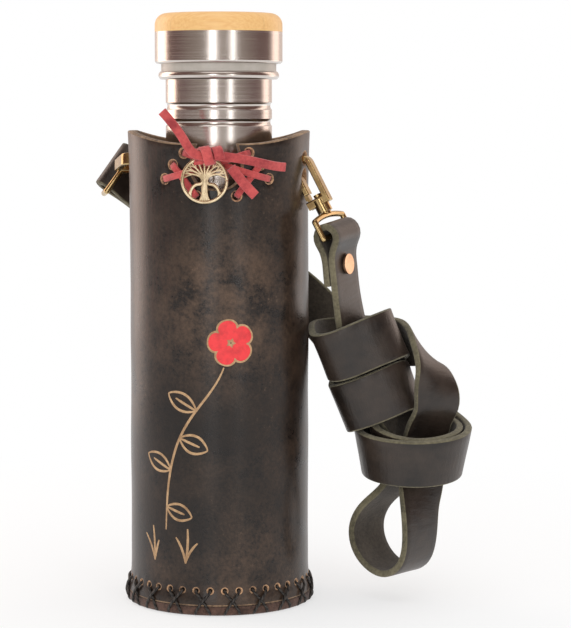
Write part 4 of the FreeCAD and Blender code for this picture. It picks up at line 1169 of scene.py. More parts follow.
@dataclass
class Tooling(Assembly):
    """Blossom and sprig drawn on the front: tooled tan lines and painted petals; sizes in millimetres."""

    form: SleeveForm
    middle: Pair = (6.0, 117.0)
    petal_reach: float = 9.6
    petal_half: float = 4.7
    petal_turn: float = 104.0
    petal_points: int = 28
    petals: int = 5
    heart_r: float = 2.2
    line_w: float = 1.1
    line_gap: float = 0.35
    lift: float = 0.1
    sunk: float = 0.03
    # Share of the petal's outline, and rise above the leather.
    dome: tuple[Pair, ...] = ((1.0, 0.02), (0.8, 0.2), (0.4, 0.26))
    dome_top: float = 0.28
    stem: tuple[Pair, ...] = (
        (3.0, 106.6), (-1.5, 98.0), (-9.0, 88.0), (-16.5, 76.0), (-21.0, 62.0), (-23.0, 46.0), (-23.5, 36.0),
    )
    leaves: tuple[tuple[Pair, Pair, float], ...] = (
        ((-9.0, 88.0), (-22.0, 95.0), 3.6), ((-16.5, 76.0), (-4.0, 71.0), 3.8),
        ((-21.0, 62.0), (-34.0, 68.0), 3.6), ((-23.0, 46.0), (-11.0, 42.0), 3.4),
    )
    leaf_spans: int = 15
    tufts: tuple[tuple[float, Point], ...] = ((-30.0, (-36.0, -31.0, -27.5)), (-14.0, (-18.5, -13.0, -8.5)))
    tuft_z: float = 22.0
    tuft_bend_z: float = 28.5
    tuft_tops: Point = (33.0, 37.0, 31.0)

    def petal(self, number: int, grow: float = 0.0) -> list[Vector]:
        """Outline of one petal.

        Args:
            number: Which petal.
            grow: Distance by which it is larger.

        Returns:
            Arc and height of each point.
        """
        turn = math.radians(360.0 * number / self.petals + self.petal_turn)
        away, aside = Vector((math.cos(turn), math.sin(turn))), Vector((-math.sin(turn), math.cos(turn)))
        spots = []
        for angle in turns(self.petal_points):
            out = self.petal_reach * (0.56 + 0.44 * math.cos(angle)) + grow * math.cos(angle)
            wide = (self.petal_half + grow) * math.sin(angle) * (0.72 + 0.28 * math.cos(angle * 0.5) ** 2)
            spots.append(Vector(self.middle) + away * out + aside * wide)
        return spots

    def painted(self) -> Piece:
        """Petals filled with paint, slightly domed.

        Returns:
            The painted petals.
        """
        points, faces = [], []
        for number in range(self.petals):
            edge = self.petal(number)
            size, first = len(edge), len(points)
            centre = Vector((sum(spot.x for spot in edge) / size, sum(spot.y for spot in edge) / size))
            for share, rise in self.dome:
                for corner in edge:
                    spot = centre.lerp(corner, share)
                    points.append(self.form.point(spot.x, spot.y, -rise - self.sunk))
            top = len(points)
            points.append(self.form.point(centre.x, centre.y, -self.dome_top))
            faces += bands(first, len(self.dome), size)
            faces += [(top - size + step, top - size + (step + 1) % size, top) for step in range(size)]
        return mesh_object("blossom_paint", points, faces, [self.finishes.paint])

    def blossom_lines(self) -> list[list[Vector]]:
        """Lines round the petals and the heart of the blossom.

        Returns:
            Arc and height of the points of each line.
        """
        lines = []
        for number in range(self.petals):
            edge = self.petal(number, self.line_gap)
            lines.append(edge + [edge[0]])
        x, z = self.middle
        heart = []
        for turn in np.linspace(0, math.tau, 20):
            heart.append(Vector((x + self.heart_r * math.cos(turn), z + self.heart_r * math.sin(turn))))
        return lines + [heart]

    def leaf_lines(self) -> list[list[Vector]]:
        """Two sides and the rib of each leaf.

        Returns:
            Arc and height of the points of each line.
        """
        lines = []
        shares = [step / self.leaf_spans for step in range(self.leaf_spans + 1)]
        for foot, point, half in self.leaves:
            root, tip = Vector(foot), Vector(point)
            run = tip - root
            aside = Vector((-run.y, run.x)).normalized()
            for sign in (-1, 1):
                bulge = [sign * half * math.sin(math.pi * share) ** 0.8 for share in shares]
                lines.append([root + run * share + aside * out for share, out in zip(shares, bulge)])
            lines.append([root.lerp(tip, share) for share in np.linspace(0.0, 0.72, 8)])
        return lines

    def tuft_lines(self) -> list[list[Vector]]:
        """Blades of grass at the stem's foot.

        Returns:
            Arc and height of the points of each line.
        """
        lines = []
        for foot, tips in self.tufts:
            for tip, height in zip(tips, self.tuft_tops):
                blade = [(foot, self.tuft_z), ((foot + tip) / 2 + 0.4, self.tuft_bend_z), (tip, height)]
                lines.append(smooth_line(blade, count=14))
        return lines

    def tooled(self) -> Piece:
        """Tooled lines with a raised lip each side.

        Returns:
            The lines.
        """
        half, lift = self.line_w / 2, self.lift
        profile = ((-half, 0.0), (-half * 0.55, lift), (0.0, lift * 0.4), (half * 0.55, lift), (half, 0.0))
        points, faces = [], []
        stem = smooth_line(self.stem, count=60)
        for line in (*self.blossom_lines(), stem, *self.leaf_lines(), *self.tuft_lines()):
            first = len(points)
            for number, spot in enumerate(line):
                before, after = neighbours(line, number)
                run = (after - before).normalized()
                aside = Vector((-run.y, run.x))
                thin = 1.0 - 0.45 * abs(2 * number / (len(line) - 1) - 1) ** 3
                for across, rise in profile:
                    place = spot + aside * (across * thin)
                    points.append(self.form.point(place.x, place.y, -rise - self.sunk))
            faces += bands(first, len(line), len(profile), closed=False, turned=True)
        return mesh_object("tooled_lines", points, faces, [self.finishes.tooling])

    def build(self) -> list[Piece]:
        """Make the drawing.

        Returns:
            Its pieces.
        """
        pieces = [self.painted(), self.tooled()]
        for piece in pieces:
            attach(piece, Body.CARRIER.value)
        return pieces


@dataclass
class Base(Assembly):
    """Leather base, the crossed cords that hold it and the cords of the back seam; sizes in millimetres."""

    form: SleeveForm
    radius: float = 40.6
    thick: float = 4.0
    edge_round: float = 1.2
    pole: float = 0.0001
    round_steps: int = 160
    cord_r: float = 0.62
    cord_sides: int = 7
    seam_from: float = 16.0
    seam_step: float = 8.0
    seam_count: int = 22
    seam_half: float = 4.0
    seam_tilt: float = 1.2
    # Share of the stitch's half, and distance out of the leather.
    seam_rows: tuple[Pair, ...] = (
        (-1.0, -1.0), (-0.96, 0.3), (-0.5, 0.6), (0.5, 0.6), (0.96, 0.3), (1.0, -1.0),
    )

    def disc(self) -> Piece:
        """Base disc with rubbed edges.

        Returns:
            The disc.
        """
        cut, inner, top = self.edge_round, self.radius - self.edge_round, self.thick - self.edge_round
        quarter = [math.radians(angle) for angle in (0, 22, 45, 68, 90)]
        outline = [(self.pole, 0.0)]
        outline += [(inner + cut * math.sin(turn), cut - cut * math.cos(turn)) for turn in quarter]
        outline += [(inner + cut * math.cos(turn), top + cut * math.sin(turn)) for turn in quarter]
        outline = [(r * MM, z * MM) for r, z in (*outline, (self.pole, self.thick))]
        piece = turned_object("base_leather", outline, self.finishes.base_edge, self.round_steps)
        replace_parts(piece, "base_disc")
        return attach(piece, Body.CARRIER.value)

    def spot(self, degrees: float, height: float, out: float) -> Vector:
        """Point outside the sleeve's foot, at a bearing from the right-hand side.

        Args:
            degrees: Bearing.
            height: Height above the ground.
            out: Distance out from the sleeve or base.

        Returns:
            The point in metres.
        """
        if height >= self.thick:
            return self.form.point(self.form.bearing_arc(degrees), height, -out)
        angle, radius = math.radians(degrees), self.radius + out
        return Vector((radius * math.cos(angle), radius * math.sin(angle), height)) * MM

    def crossing(self) -> Piece:
        """Crossed cords over the joint, each from a hole down and under the base's edge.

        Returns:
            The cords.
        """
        lines = []
        hole_z, cord = self.form.base_hole_z, self.cord_r
        for middle in self.form.cross_bearings():
            for sign in (-1, 1):
                over = cord * (0.75 if sign > 0 else 1.9)
                rows = (
                    (-1.0, hole_z, -1.2), (-0.96, hole_z - 0.5, 0.2), (-0.55, hole_z - 2.2, over),
                    (0.0, hole_z - 4.2, over), (0.5, 4.1, over * 0.8), (0.85, 2.2, cord * 0.7),
                    (1.0, 1.0, 0.0), (1.0, 0.75, -1.6),
                )
                turn = sign * self.form.base_hole_turn
                stops = [self.spot(middle + turn * share, *rest) for share, *rest in rows]
                lines.append(smooth_line(stops, count=20))
        piece = tube_object("base_stitches", lines, cord * MM, self.finishes.cord, self.cord_sides)
        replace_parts(piece, "base_stitching")
        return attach(piece, Body.CARRIER.value)

    def seam(self) -> Piece:
        """Cords drawn across the back seam and into the leather at each end.

        Returns:
            The cords.
        """
        reach = math.pi * self.form.radius
        lines = []
        for stitch in range(self.seam_count):
            height = self.seam_from + self.seam_step * stitch
            stops = []
            for across, out in self.seam_rows:
                place = reach + self.seam_half * across
                stops.append(self.form.point(place, height + self.seam_tilt * across, -out))
            lines.append(smooth_line(stops, count=14))
        piece = tube_object("seam_stitches", lines, self.cord_r * MM, self.finishes.cord, self.cord_sides)
        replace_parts(piece, "back_seam_stitching")
        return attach(piece, Body.CARRIER.value)

    def build(self) -> list[Piece]:
        """Make the base and its sewing."""
        return [self.disc(), self.crossing(), self.seam()]


@dataclass
class Lacing(Assembly):
    """Red lace through the opening's holes, its knot and its tails; sizes in millimetres."""

    form: SleeveForm
    thick: float = 1.5
    edge_round: float = 0.45
    step: float = 0.7
    wave: float = 0.12
    tail_w: float = 3.8
    knot_w: float = 4.2
    cross_w: float = 2.8
    off: float = 0.95
    hole_deep: float = 3.0
    # Distance from a hole's middle, and depth, of the bend at its lip.
    hole_bend: Pair = (0.25, 0.6)
    knot: Point = (-2.6, -48.9, 196.1)
    knot_r: float = 3.2
    knot_pitch: float = 4.9
    knot_turns: float = 1.75
    knot_steps: int = 16
    knot_start: float = 200.0
    knot_lean: float = 0.35
    charm: Point = (-4.8, -41.9, 198.25)
    cord_half: float = 3.5
    cord_r: float = 0.9

    def strip(self, stations: Sequence[Station], width: float, name: str) -> Piece:
        """One length of lace.

        Args:
            stations: Stations of its route.
            width: Its width.
            name: Name of the piece.

        Returns:
            The piece.
        """
        route = Route(stations)
        lace = Strip(route, width, self.thick, self.edge_round, self.step, self.wave)
        piece = lace.build(name, 0.0, route.places[-1], [self.finishes.lace] * 3)
        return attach(piece, Body.CARRIER.value)

    def spot(self, x: float, z: float, out: float) -> Vector:
        """Point a distance out from the sleeve's front, in millimetres."""
        radius = self.form.radius + out
        return Vector((x, -math.sqrt(radius * radius - x * x), z))

    def stretch(self, start: Pair, end: Pair, humps: Sequence[Pair]) -> list[Station]:
        """Stations of one stretch on the sleeve's face, with both ends led into their holes.

        Args:
            start: Hole at its start.
            end: Hole at its end.
            humps: Share of the way and distance out at places between.

        Returns:
            The stations.
        """
        first, last = Vector(start), Vector(end)
        inset, sunk = self.hole_bend
        bend = (last - first).normalized() * inset
        places = [(first, -self.hole_deep), (first + bend, -sunk)]
        between = ((0.06, self.off), *humps, (0.94, self.off))
        places += [(first.lerp(last, share), out) for share, out in between]
        places += [(last - bend, -sunk), (last, -self.hole_deep)]
        points = [self.spot(place.x, place.y, out) for place, out in places]
        run = (points[-1] - points[0]).normalized()
        return [(*point, *run.cross(Vector((point.x, point.y, 0.0)))) for point in points]

    def crossings(self) -> list[Piece]:
        """Stretches over the opening and at its sides.

        Returns:
            The pieces.
        """
        top, second, third, low = self.form.lace_holes
        pieces = []
        for sign, middle, side in ((1, -1.5, "right"), (-1, 0.35, "left")):
            humps = ((0.3, self.off), (0.7, self.off))
            short = self.stretch((sign * low[0], low[1]), (sign * second[0], second[1]), humps)
            pieces.append(self.strip(short, self.cross_w, f"lace_side_{side}"))
            humps = ((0.19, 2.8), (0.3, 2.0), (0.42, 0.9), (0.62, middle), (0.84, 1.1))
            long = self.stretch((sign * third[0], third[1]), (-sign * top[0], top[1]), humps)
            pieces.append(self.strip(long, self.cross_w, f"lace_diagonal_{side}"))
        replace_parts(pieces[0], "lace_crossings")
        return pieces

    def knot_piece(self) -> Piece:
        """Turns of the knot round the long tail.

        Returns:
            The piece.
        """
        x, y, z = self.knot
        stations = []
        for number in range(int(self.knot_turns * self.knot_steps) + 1):
            turn = number / self.knot_steps
            angle = math.radians(360.0 * turn + self.knot_start)
            shift = self.knot_pitch * (turn - self.knot_turns / 2)
            rise, out = self.knot_r * math.cos(angle), self.knot_r * math.sin(angle)
            stations.append((x + shift + self.knot_lean * math.sin(angle), y - out, z + rise, 1.0, 0.0, 0.18))
        piece = self.strip(stations, self.knot_w, "lace_knot_turns")
        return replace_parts(piece, "lace_knot")

    def tails(self) -> list[Piece]:
        """Long tail through the knot, and the short tail below it.

        Returns:
            The pieces.
        """
        long_stations = (
            (-22.4, -42.4, 214.4, 0.75, 0.05, 0.66), (-17.6, -44.0, 208.8, 0.75, 0.05, 0.66),
            (-13.4, -46.6, 203.0, 0.72, 0.1, 0.69), (-11.0, -48.2, 199.2, 0.55, 0.15, 0.82),
            (-8.6, -48.9, 196.8, 0.3, 0.2, 0.93), (*self.knot, 0.05, 0.25, 0.97),
            (3.6, -48.9, 195.8, 0.05, 0.15, 0.98), (9.0, -47.2, 195.0, 0.1, 0.0, 1.0),
            (16.0, -43.4, 193.6, 0.06, -0.2, 0.97), (22.6, -38.6, 192.0, 0.05, -0.4, 0.9),
            (28.6, -33.0, 191.0, 0.05, -0.1, 1.0),
        )
        low_stations = (
            (6.4, -48.0, 191.3, 0.72, 0.0, 0.69), (9.4, -46.2, 187.3, 0.74, 0.05, 0.67),
            (12.6, -43.8, 183.4, 0.75, 0.1, 0.66), (16.2, -41.2, 179.4, 0.75, 0.15, 0.65),
        )
        long = self.strip(long_stations, self.tail_w, "lace_tail_long")
        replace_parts(long, "lace_long_tail")
        low = self.strip(low_stations, self.knot_w, "lace_tail_low")
        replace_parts(low, "lace_low_tail")
        return [long, low]

    def carrying_cord(self) -> Piece:
        """Rolled lace behind the knot that carries the charm.

        Returns:
            The piece.
        """
        x, y, z = self.charm
        half, back = self.cord_half, self.knot[1] + self.knot_r
        stops = [
            (x - half, back, z - 0.6), (x - half, y - 1.0, z - 0.1), (x - 2.4, y, z), (x, y, z),
            (x + 2.4, y, z), (x + half, y - 1.0, z - 0.1), (x + half, back, z - 0.6),
        ]
        line = [point * MM for point in smooth_line(stops, count=24)]
        piece = tube_object("lace_loop", [line], self.cord_r * MM, self.finishes.lace, sides=10)
        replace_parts(piece, "charm_cord")
        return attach(piece, Body.CARRIER.value)

    def build(self) -> list[Piece]:
        """Make all the lace."""
        return [*self.crossings(), self.knot_piece(), *self.tails(), self.carrying_cord()]


@dataclass
class StrapRoute:
    """Stations of the one long strap, from its right end to its left end; sizes in millimetres."""

    form: SleeveForm
    thick: float = 3.0
    fold_r: float = 4.6
    ply_gap: float = 0.2
    right_bar: Point = (51.159, -16.622, 161.463)
    right_bar_way: Point = (0.466, 0.880, 0.091)
    right_run: Point = (0.100, 0.045, -0.994)
    left_bar: Point = (-45.619, 35.017, 187.550)
    left_bar_way: Point = (0.550, 0.266, 0.791)
    left_run: Point = (0.770, 0.203, -0.604)
    wrap_middle: Point = (59.2, -11.0, 112.9)
    wrap_down: Point = (0.372, 0.060, -0.928)
    wrap_side: Point = (0.928, 0.0, 0.372)
    ring_middle: Point = (85.2, -5.0, 66.5)
    ring_axis: Point = (0.0, -0.174, 0.985)
    ring_front: Point = (0.0, -0.985, -0.174)
    ring_cup: float = 0.174
    ring_step: float = 30.0

    def fold(self, middle: Point, bar: Point, run: Point, side: int) -> list[Station]:
        """End of the strap folded round an eye's bar.

        Args:
            middle: Middle of the bar.
            bar: Direction of the bar.
            run: Direction of the strap away from it.
            side: 1 for the right end, -1 for the left end.

        Returns:
            Stations from the short ply round to the long ply.
        """
        flat = Vector(bar).cross(Vector(run)) * side
        half = (self.thick + self.ply_gap) / 2
        ply = (
            (21.0, half), (15.0, half), (9.6, half + 0.05), (5.2, half + 1.1), (0.4, self.fold_r),
            (-3.4, self.fold_r * 0.7),
        )
        shape = (*ply, (-4.8, 0.0), *((down, -out) for down, out in reversed(ply)))
        across = Vector(bar) * side
        return [(*(Vector(middle) + Vector(run) * down + flat * out), *across) for down, out in shape]

    def beside(self, rows: Sequence[Station]) -> list[Station]:
        """Stations given by their distance to the right of the sleeve's side."""
        return [(self.form.radius + away, *rest) for away, *rest in rows]

    def behind(self, rows: Sequence[Station]) -> list[Station]:
        """Stations given by their bearing and their distance out from the sleeve.

        Args:
            rows: Bearing from the right-hand side, distance out, height and width direction.

        Returns:
            The stations.
        """
        stations = []
        for bearing, out, *rest in rows:
            angle, radius = math.radians(bearing), self.form.radius + out
            stations.append((radius * math.cos(angle), radius * math.sin(angle), *rest))
        return stations

    def wrap(self, turn: float, drop: float, long_half: float, deep_half: float) -> Station:
        """Station on the two upper wraps.

        Args:
            turn: Turn about the bundle; 90 faces the front and 180 the sleeve.
            drop: Distance down the bundle.
            long_half: Half of the wrap's width.
            deep_half: Half of the wrap's depth.

        Returns:
            The station.
        """
        down, angle = Vector(self.wrap_down).normalized(), math.radians(turn)
        across = Vector(self.wrap_side) * (long_half * math.cos(angle))
        point = Vector(self.wrap_middle) + down * drop + across
        point += Vector((0.0, -deep_half * math.sin(angle), 0.0))
        return (*point, *down)

    def ring(self, turn: float, rise: float, long_half: float, deep_half: float) -> Station:
        """Station on the lower, cupped wrap.

        Args:
            turn: Turn about the ring; 90 faces the front.
            rise: Distance above the ring's middle.
            long_half: Half of the ring's width.
            deep_half: Half of the ring's depth.

        Returns:
            The station.
        """
        angle = math.radians(turn)
        axis, front, right = Vector(self.ring_axis), Vector(self.ring_front), Vector((1.0, 0.0, 0.0))
        outward = right * math.cos(angle) + front * math.sin(angle)
        point = Vector(self.ring_middle) + axis * rise
        point += right * (long_half * math.cos(angle)) + front * (deep_half * math.sin(angle))
        up = axis * math.sqrt(1.0 - self.ring_cup**2) + outward * self.ring_cup
        return (*point, *(-up))

    def core(self) -> list[Station]:
        """Stretch inside the wraps."""
        return self.beside([
            (17.6, -14.2, 127.0, 0.48, 0.87, 0.06), (20.2, -11.2, 115.0, 0.52, 0.85, 0.05),
            (24.0, -9.4, 103.0, 0.54, 0.84, 0.05), (29.6, -8.0, 91.5, 0.58, 0.81, 0.04),
            (38.2, -3.4, 81.0, 0.66, 0.75, 0.02), (43.0, -0.8, 71.5, 0.65, 0.76, 0.0),
        ])

    def loop(self) -> list[Station]:
        """Loop that hangs below the wraps, level across until it rises again.

        Returns:
            The stations.
        """
        level = (0.65, 0.76, 0.0)
        hanging = (
            (43.0, 0.0, 63.0), (42.0, 0.5, 55.0), (36.4, 1.8, 47.0), (29.6, 4.4, 39.5),
            (26.2, 5.8, 31.0), (27.6, 4.2, 21.5), (33.0, -0.4, 14.6), (39.7, -6.1, 12.6),
            (45.4, -10.9, 16.6), (48.4, -13.4, 26.0),
        )
        rising = (
            (48.8, -13.2, 36.0, 0.68, 0.73, 0.0), (48.8, -10.6, 46.0, 0.78, 0.62, 0.0),
            (49.6, -7.5, 55.0, 0.9, 0.44, 0.0), (50.2, -7.4, 63.0, 0.9, 0.43, 0.0),
            (51.2, -8.2, 70.5, 0.9, 0.43, 0.02),
        )
        return self.beside([*((*place, *level) for place in hanging), *rising])

    def side_turn(self) -> list[Station]:
        """Turn up the right-hand side of the bundle."""
        return self.beside([
            (52.8, -10.6, 78.6, 0.88, 0.47, 0.03), (55.7, -13.5, 86.4, 0.88, 0.47, 0.03),
            (55.4, -14.4, 93.8, 0.85, 0.52, 0.0), (54.4, -12.8, 101.0, 0.68, 0.73, -0.08),
            (51.4, -8.6, 107.6, 0.46, 0.82, -0.34), (47.0, -1.6, 111.6, 0.26, 0.60, -0.76),
            (40.4, 5.4, 112.6, 0.08, 0.25, -0.96),
        ])

    def upper(self) -> list[Station]:
        """Two wraps round the bundle, and the stretch down to the lower one.

        Returns:
            The stations.
        """
        rows = (
            (275.0, 0.6, 19.6, 20.6), (240.0, -3.2, 19.2, 20.0), (208.0, -4.8, 15.5, 17.8),
            (180.0, -3.0, 14.7, 15.4), (150.0, -1.0, 16.2, 14.6), (120.0, 0.0, 17.8, 14.4),
            (90.0, 0.0, 18.8, 14.2), (60.0, 0.0, 18.8, 14.4), (30.0, 0.6, 18.8, 14.6), (0.0, 1.6, 18.8, 14.4),
            (-35.0, 4.6, 18.2, 14.2), (-90.0, 12.6, 17.2, 13.6), (-140.0, 20.6, 16.0, 12.0),
            (-180.0, 23.2, 15.8, 11.4),
            *((turn, 23.2, 16.2, 11.8) for turn in (-210.0, -240.0, -270.0, -300.0)),
            (-330.0, 23.8, 15.9, 11.4), (-360.0, 26.0, 16.4, 11.2),
        )
        link = self.beside([
            (47.2, -1.0, 91.6, 0.37, 0.06, -0.93), (46.2, 9.8, 86.8, 0.37, 0.06, -0.93),
            (38.6, 12.3, 81.8, 0.25, 0.04, -0.97), (32.2, 8.4, 76.8, 0.1, 0.02, -1.0),
        ])
        return [self.wrap(*row) for row in rows] + link

    def lower(self) -> list[Station]:
        """Lower, cupped wrap, in even turns from the sleeve's side."""
        rows = (
            (5.5, 17.0, 16.4), (2.6, 17.2, 16.4), (0.8, 17.7, 16.4), (0.0, 17.7, 16.5), (0.0, 17.8, 16.6),
            (0.0, 18.0, 16.8), (0.0, 18.4, 17.2), (0.0, 19.0, 18.4), (0.0, 19.8, 20.0), (0.0, 20.8, 22.4),
            (0.0, 22.2, 23.2), (0.0, 23.0, 23.2), (0.0, 23.0, 22.2), (0.0, 22.8, 21.4), (0.0, 22.2, 20.6),
            (0.0, 21.8, 20.4), (0.0, 21.8, 20.6), (0.0, 22.0, 20.9), (0.0, 22.2, 21.4), (0.6, 22.6, 22.6),
            (3.4, 23.4, 24.4),
        )
        return [self.ring(180.0 - self.ring_step * number, *row) for number, row in enumerate(rows)]

    def back(self) -> list[Station]:
        """Stretch up round the back of the sleeve."""
        return self.behind([
            (14.2, 49.8, 78.4, -0.30, 0.0, -0.95), (16.5, 39.2, 89.0, -0.55, 0.0, -0.83),
            (20.2, 29.2, 101.0, -0.62, 0.0, -0.78), (26.1, 21.1, 112.0, -0.62, 0.02, -0.78),
            (33.6, 16.2, 121.0, -0.60, 0.06, -0.80), (43.9, 12.3, 129.6, -0.57, 0.06, -0.82),
            (58.1, 8.3, 138.4, -0.56, 0.04, -0.83), (74.3, 5.3, 146.6, -0.56, 0.0, -0.83),
            (92.7, 4.0, 155.2, -0.56, -0.02, -0.83), (109.8, 6.4, 163.6, -0.56, -0.14, -0.82),
        ])

    def groups(self) -> list[list[Station]]:
        """All stretches in order.

        Returns:
            Stations of each stretch.
        """
        right = self.fold(self.right_bar, self.right_bar_way, self.right_run, 1)
        left = self.fold(self.left_bar, self.left_bar_way, self.left_run, -1)
        middle = [self.core(), self.loop(), self.side_turn(), self.upper(), self.lower(), self.back()]
        return [right, *middle, left[::-1]]


@dataclass
class Strap(Assembly):
    """Leather strap: wrapped bundle, stretch behind the sleeve and left end; sizes in millimetres."""

    stations: StrapRoute
    width: float = 22.0
    edge_round: float = 0.7
    step: float = 1.6
    wave: float = 0.25
    turn_over: float = 105.0
    shares: Pair = (0.36, 0.62)
    blend_in: float = 7.0

    def marks(self, route: Route) -> list[float]:
        """Places along the route.

        Args:
            route: Route of the whole strap.

        Returns:
            Place at which each stretch starts, then the end.
        """
        groups = self.stations.groups()
        firsts = [sum(len(group) for group in groups[:number]) for number in range(len(groups))]
        return [float(route.places[first]) for first in (*firsts, -1)]

    def piece(self, route: Route, name: str, start: float, end: float, grain_side: int) -> Piece:
        """One length of the strap.

        Args:
            route: Route of the whole strap.
            name: Name of the piece.
            start: Place at which it starts.
            end: Place at which it ends.
            grain_side: Side of the strip that shows the grain.

        Returns:
            The piece.
        """
        thick, finishes = self.stations.thick, self.finishes
        strip = Strip(route, self.width, thick, self.edge_round, self.step, self.wave, grain_side)
        piece = strip.build(name, start, end, [finishes.strap, finishes.strap_flesh, finishes.strap_edge])
        return piece

    def bent(self, piece: Piece, route: Route, start: float, end: float, first: Body, second: Body) -> None:
        """Bake a piece's placement into its points; it is not set to bend between the bodies.

        Args:
            piece: Piece of the strap.
            route: Route of the whole strap.
            start: Place at which the piece starts.
            end: Place at which it ends.
            first: Body at its start; not used.
            second: Body at its end; not used.
        """
        low = route.frame_at(start + self.blend_in)[0] * MM
        high = route.frame_at(end - self.blend_in)[0] * MM
        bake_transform(piece)

    def build(self) -> list[Piece]:
        """Make the strap and let it stand for its plain solids.

        Returns:
            The pieces.
        """
        route = Route([station for group in self.stations.groups() for station in group])
        *_, back, left, end = self.marks(route)
        head = self.piece(route, "strap_head", 0.0, self.turn_over, 1)
        bundle = self.piece(route, "strap_bundle", self.turn_over, back, -1)
        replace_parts(head, "strap_right_end")
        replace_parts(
            bundle, "strap_core", "strap_hanging_loop", "strap_side_turn",
            "strap_upper_wraps", "strap_lower_wrap",
        )
        for piece in (head, bundle):
            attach(piece, Body.STRAP.value)
        cuts = [back, *(back + (left - back) * share for share in self.shares), left]
        chain = (Body.STRAP, Body.RIGHT_EYE, Body.CARRIER, Body.LEFT_EYE)
        pieces = [head, bundle]
        for number in range(3):
            run = self.piece(route, f"strap_back_{number + 1}", cuts[number], cuts[number + 1], -1)
            self.bent(run, route, cuts[number], cuts[number + 1], chain[number], chain[number + 1])
            pieces.append(run)
        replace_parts(pieces[-1], "strap_back_run")
        tail = self.piece(route, "strap_left_fold", left, end, -1)
        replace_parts(tail, "strap_left_end")
        pieces.append(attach(tail, Body.LEFT_EYE.value))
        return pieces


@dataclass
class Charm(Assembly):
    """Cast tree in a ring: roots and boughs drawn as flattened strands; sizes in millimetres."""

    middle: Point = (-4.8, -41.9, 185.8)
    radius: float = 10.0
    rim_r: float = 0.72
    strands: int = 9
    trunk_r: float = 0.74
    tip_r: float = 0.38
    flat: float = 0.5
    arched: float = 0.6
    crown: float = 74.0
    elbow_reach: Pair = (4.9, 3.7)
    elbow_up: float = 1.5
    waist: Pair = (0.9, 0.2)
    lift: float = 0.32
    lift_share: float = 0.6
    arch_turn: float = 46.0
    arch_foot: tuple[Pair, ...] = ((5.3, -3.4), (3.4, -1.8), (1.3, -1.3))
    root_turn: float = 30.0
    root_foot: tuple[Pair, ...] = ((1.9, -6.2), (1.3, -3.4))
    twig_turn: float = 11.0
    twig_bend: float = 0.45
    twig_reach: Pair = (7.2, 7.0)
    twig_up: float = 0.5
    lug_up: float = 9.5
    lug_r: float = 1.26
    lug_wire: float = 0.34

    def at(self, x: float, z: float, out: float = 0.0) -> Vector:
        """Point on the charm's face, in metres."""
        return (Vector(self.middle) + Vector((x, -out, z))) * MM

    def rim_at(self, angle: float) -> Vector:
        """Point on the middle of the rim."""
        inner = self.radius - self.rim_r
        return self.at(inner * math.cos(angle), inner * math.sin(angle))

    def ring(self, z: float, radius: float, count: int) -> list[Vector]:
        """Closed ring on the charm's face, about a point above its middle."""
        angles = [*turns(count), math.tau]
        return [self.at(radius * math.cos(angle), z + radius * math.sin(angle)) for angle in angles]

    def taper(self, share: float) -> float:
        """Radius of a strand along its length, in metres."""
        swell = math.sin(math.pi * min(1.0, share * 1.15)) ** 0.8
        return (self.tip_r + (self.trunk_r - self.tip_r) * swell) * MM

    def limbs(self) -> tuple[list[list[Vector]], list[list[Vector]]]:
        """Strands from root to bough, and the twigs that leave them.

        Returns:
            Strands and twigs.
        """
        strands, twigs = [], []
        half = (self.strands - 1) / 2
        for number in range(self.strands):
            lean = (number - half) / half
            bough = math.radians(90.0 - self.crown * lean)
            wide, high = self.elbow_reach
            elbow = (wide * math.cos(bough), self.elbow_up + high * math.sin(bough))
            lift = self.lift * (1 - abs(lean))
            low_lift = lift * self.lift_share
            if abs(lean) > self.arched:
                aside, turn, foot = math.copysign(1.0, lean), self.arch_turn, self.arch_foot
            else:
                aside, turn, foot = lean, self.root_turn, self.root_foot
            stops = [self.rim_at(math.radians(-90.0 + turn * lean))]
            stops += [self.at(x * aside, z, low_lift) for x, z in foot]
            x, z = self.waist
            stops += [self.at(x * lean, z, lift), self.at(*elbow, low_lift), self.rim_at(bough)]
            strands.append(smooth_line(stops, count=30))
            wide, high = self.twig_reach
            for turn in (-self.twig_turn, self.twig_turn):
                swing = bough + math.radians(turn * self.twig_bend)
                bend = self.at(wide * math.cos(swing), self.twig_up + high * math.sin(swing))
                tip = self.rim_at(bough + math.radians(turn))
                twigs.append(smooth_line([self.at(*elbow), bend, tip], count=12))
        return strands, twigs

    def build(self) -> list[Piece]:
        """Make the charm and let it stand for its plain solid.

        Returns:
            The pieces.
        """
        strands, twigs = self.limbs()
        metal = self.finishes.charm
        rim_line = self.ring(0.0, self.radius - self.rim_r, count=96)
        lug_line = self.ring(self.lug_up, self.lug_r, count=28)
        rim = tube_object("charm_rim", [rim_line], self.rim_r * MM, metal, sides=12)
        lug = tube_object("charm_lug", [lug_line], self.lug_wire * MM, metal, sides=9)
        limbs = tube_object("charm_strands", strands, self.taper, metal, sides=9, flat=self.flat)
        fine = tube_object("charm_twigs", twigs, self.tip_r * MM, metal, sides=7, flat=self.flat)
        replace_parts(rim, "tree_charm")
        pieces = [rim, lug, limbs, fine]
        for piece in pieces:
            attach(piece, Body.CHARM.value)
        return pieces


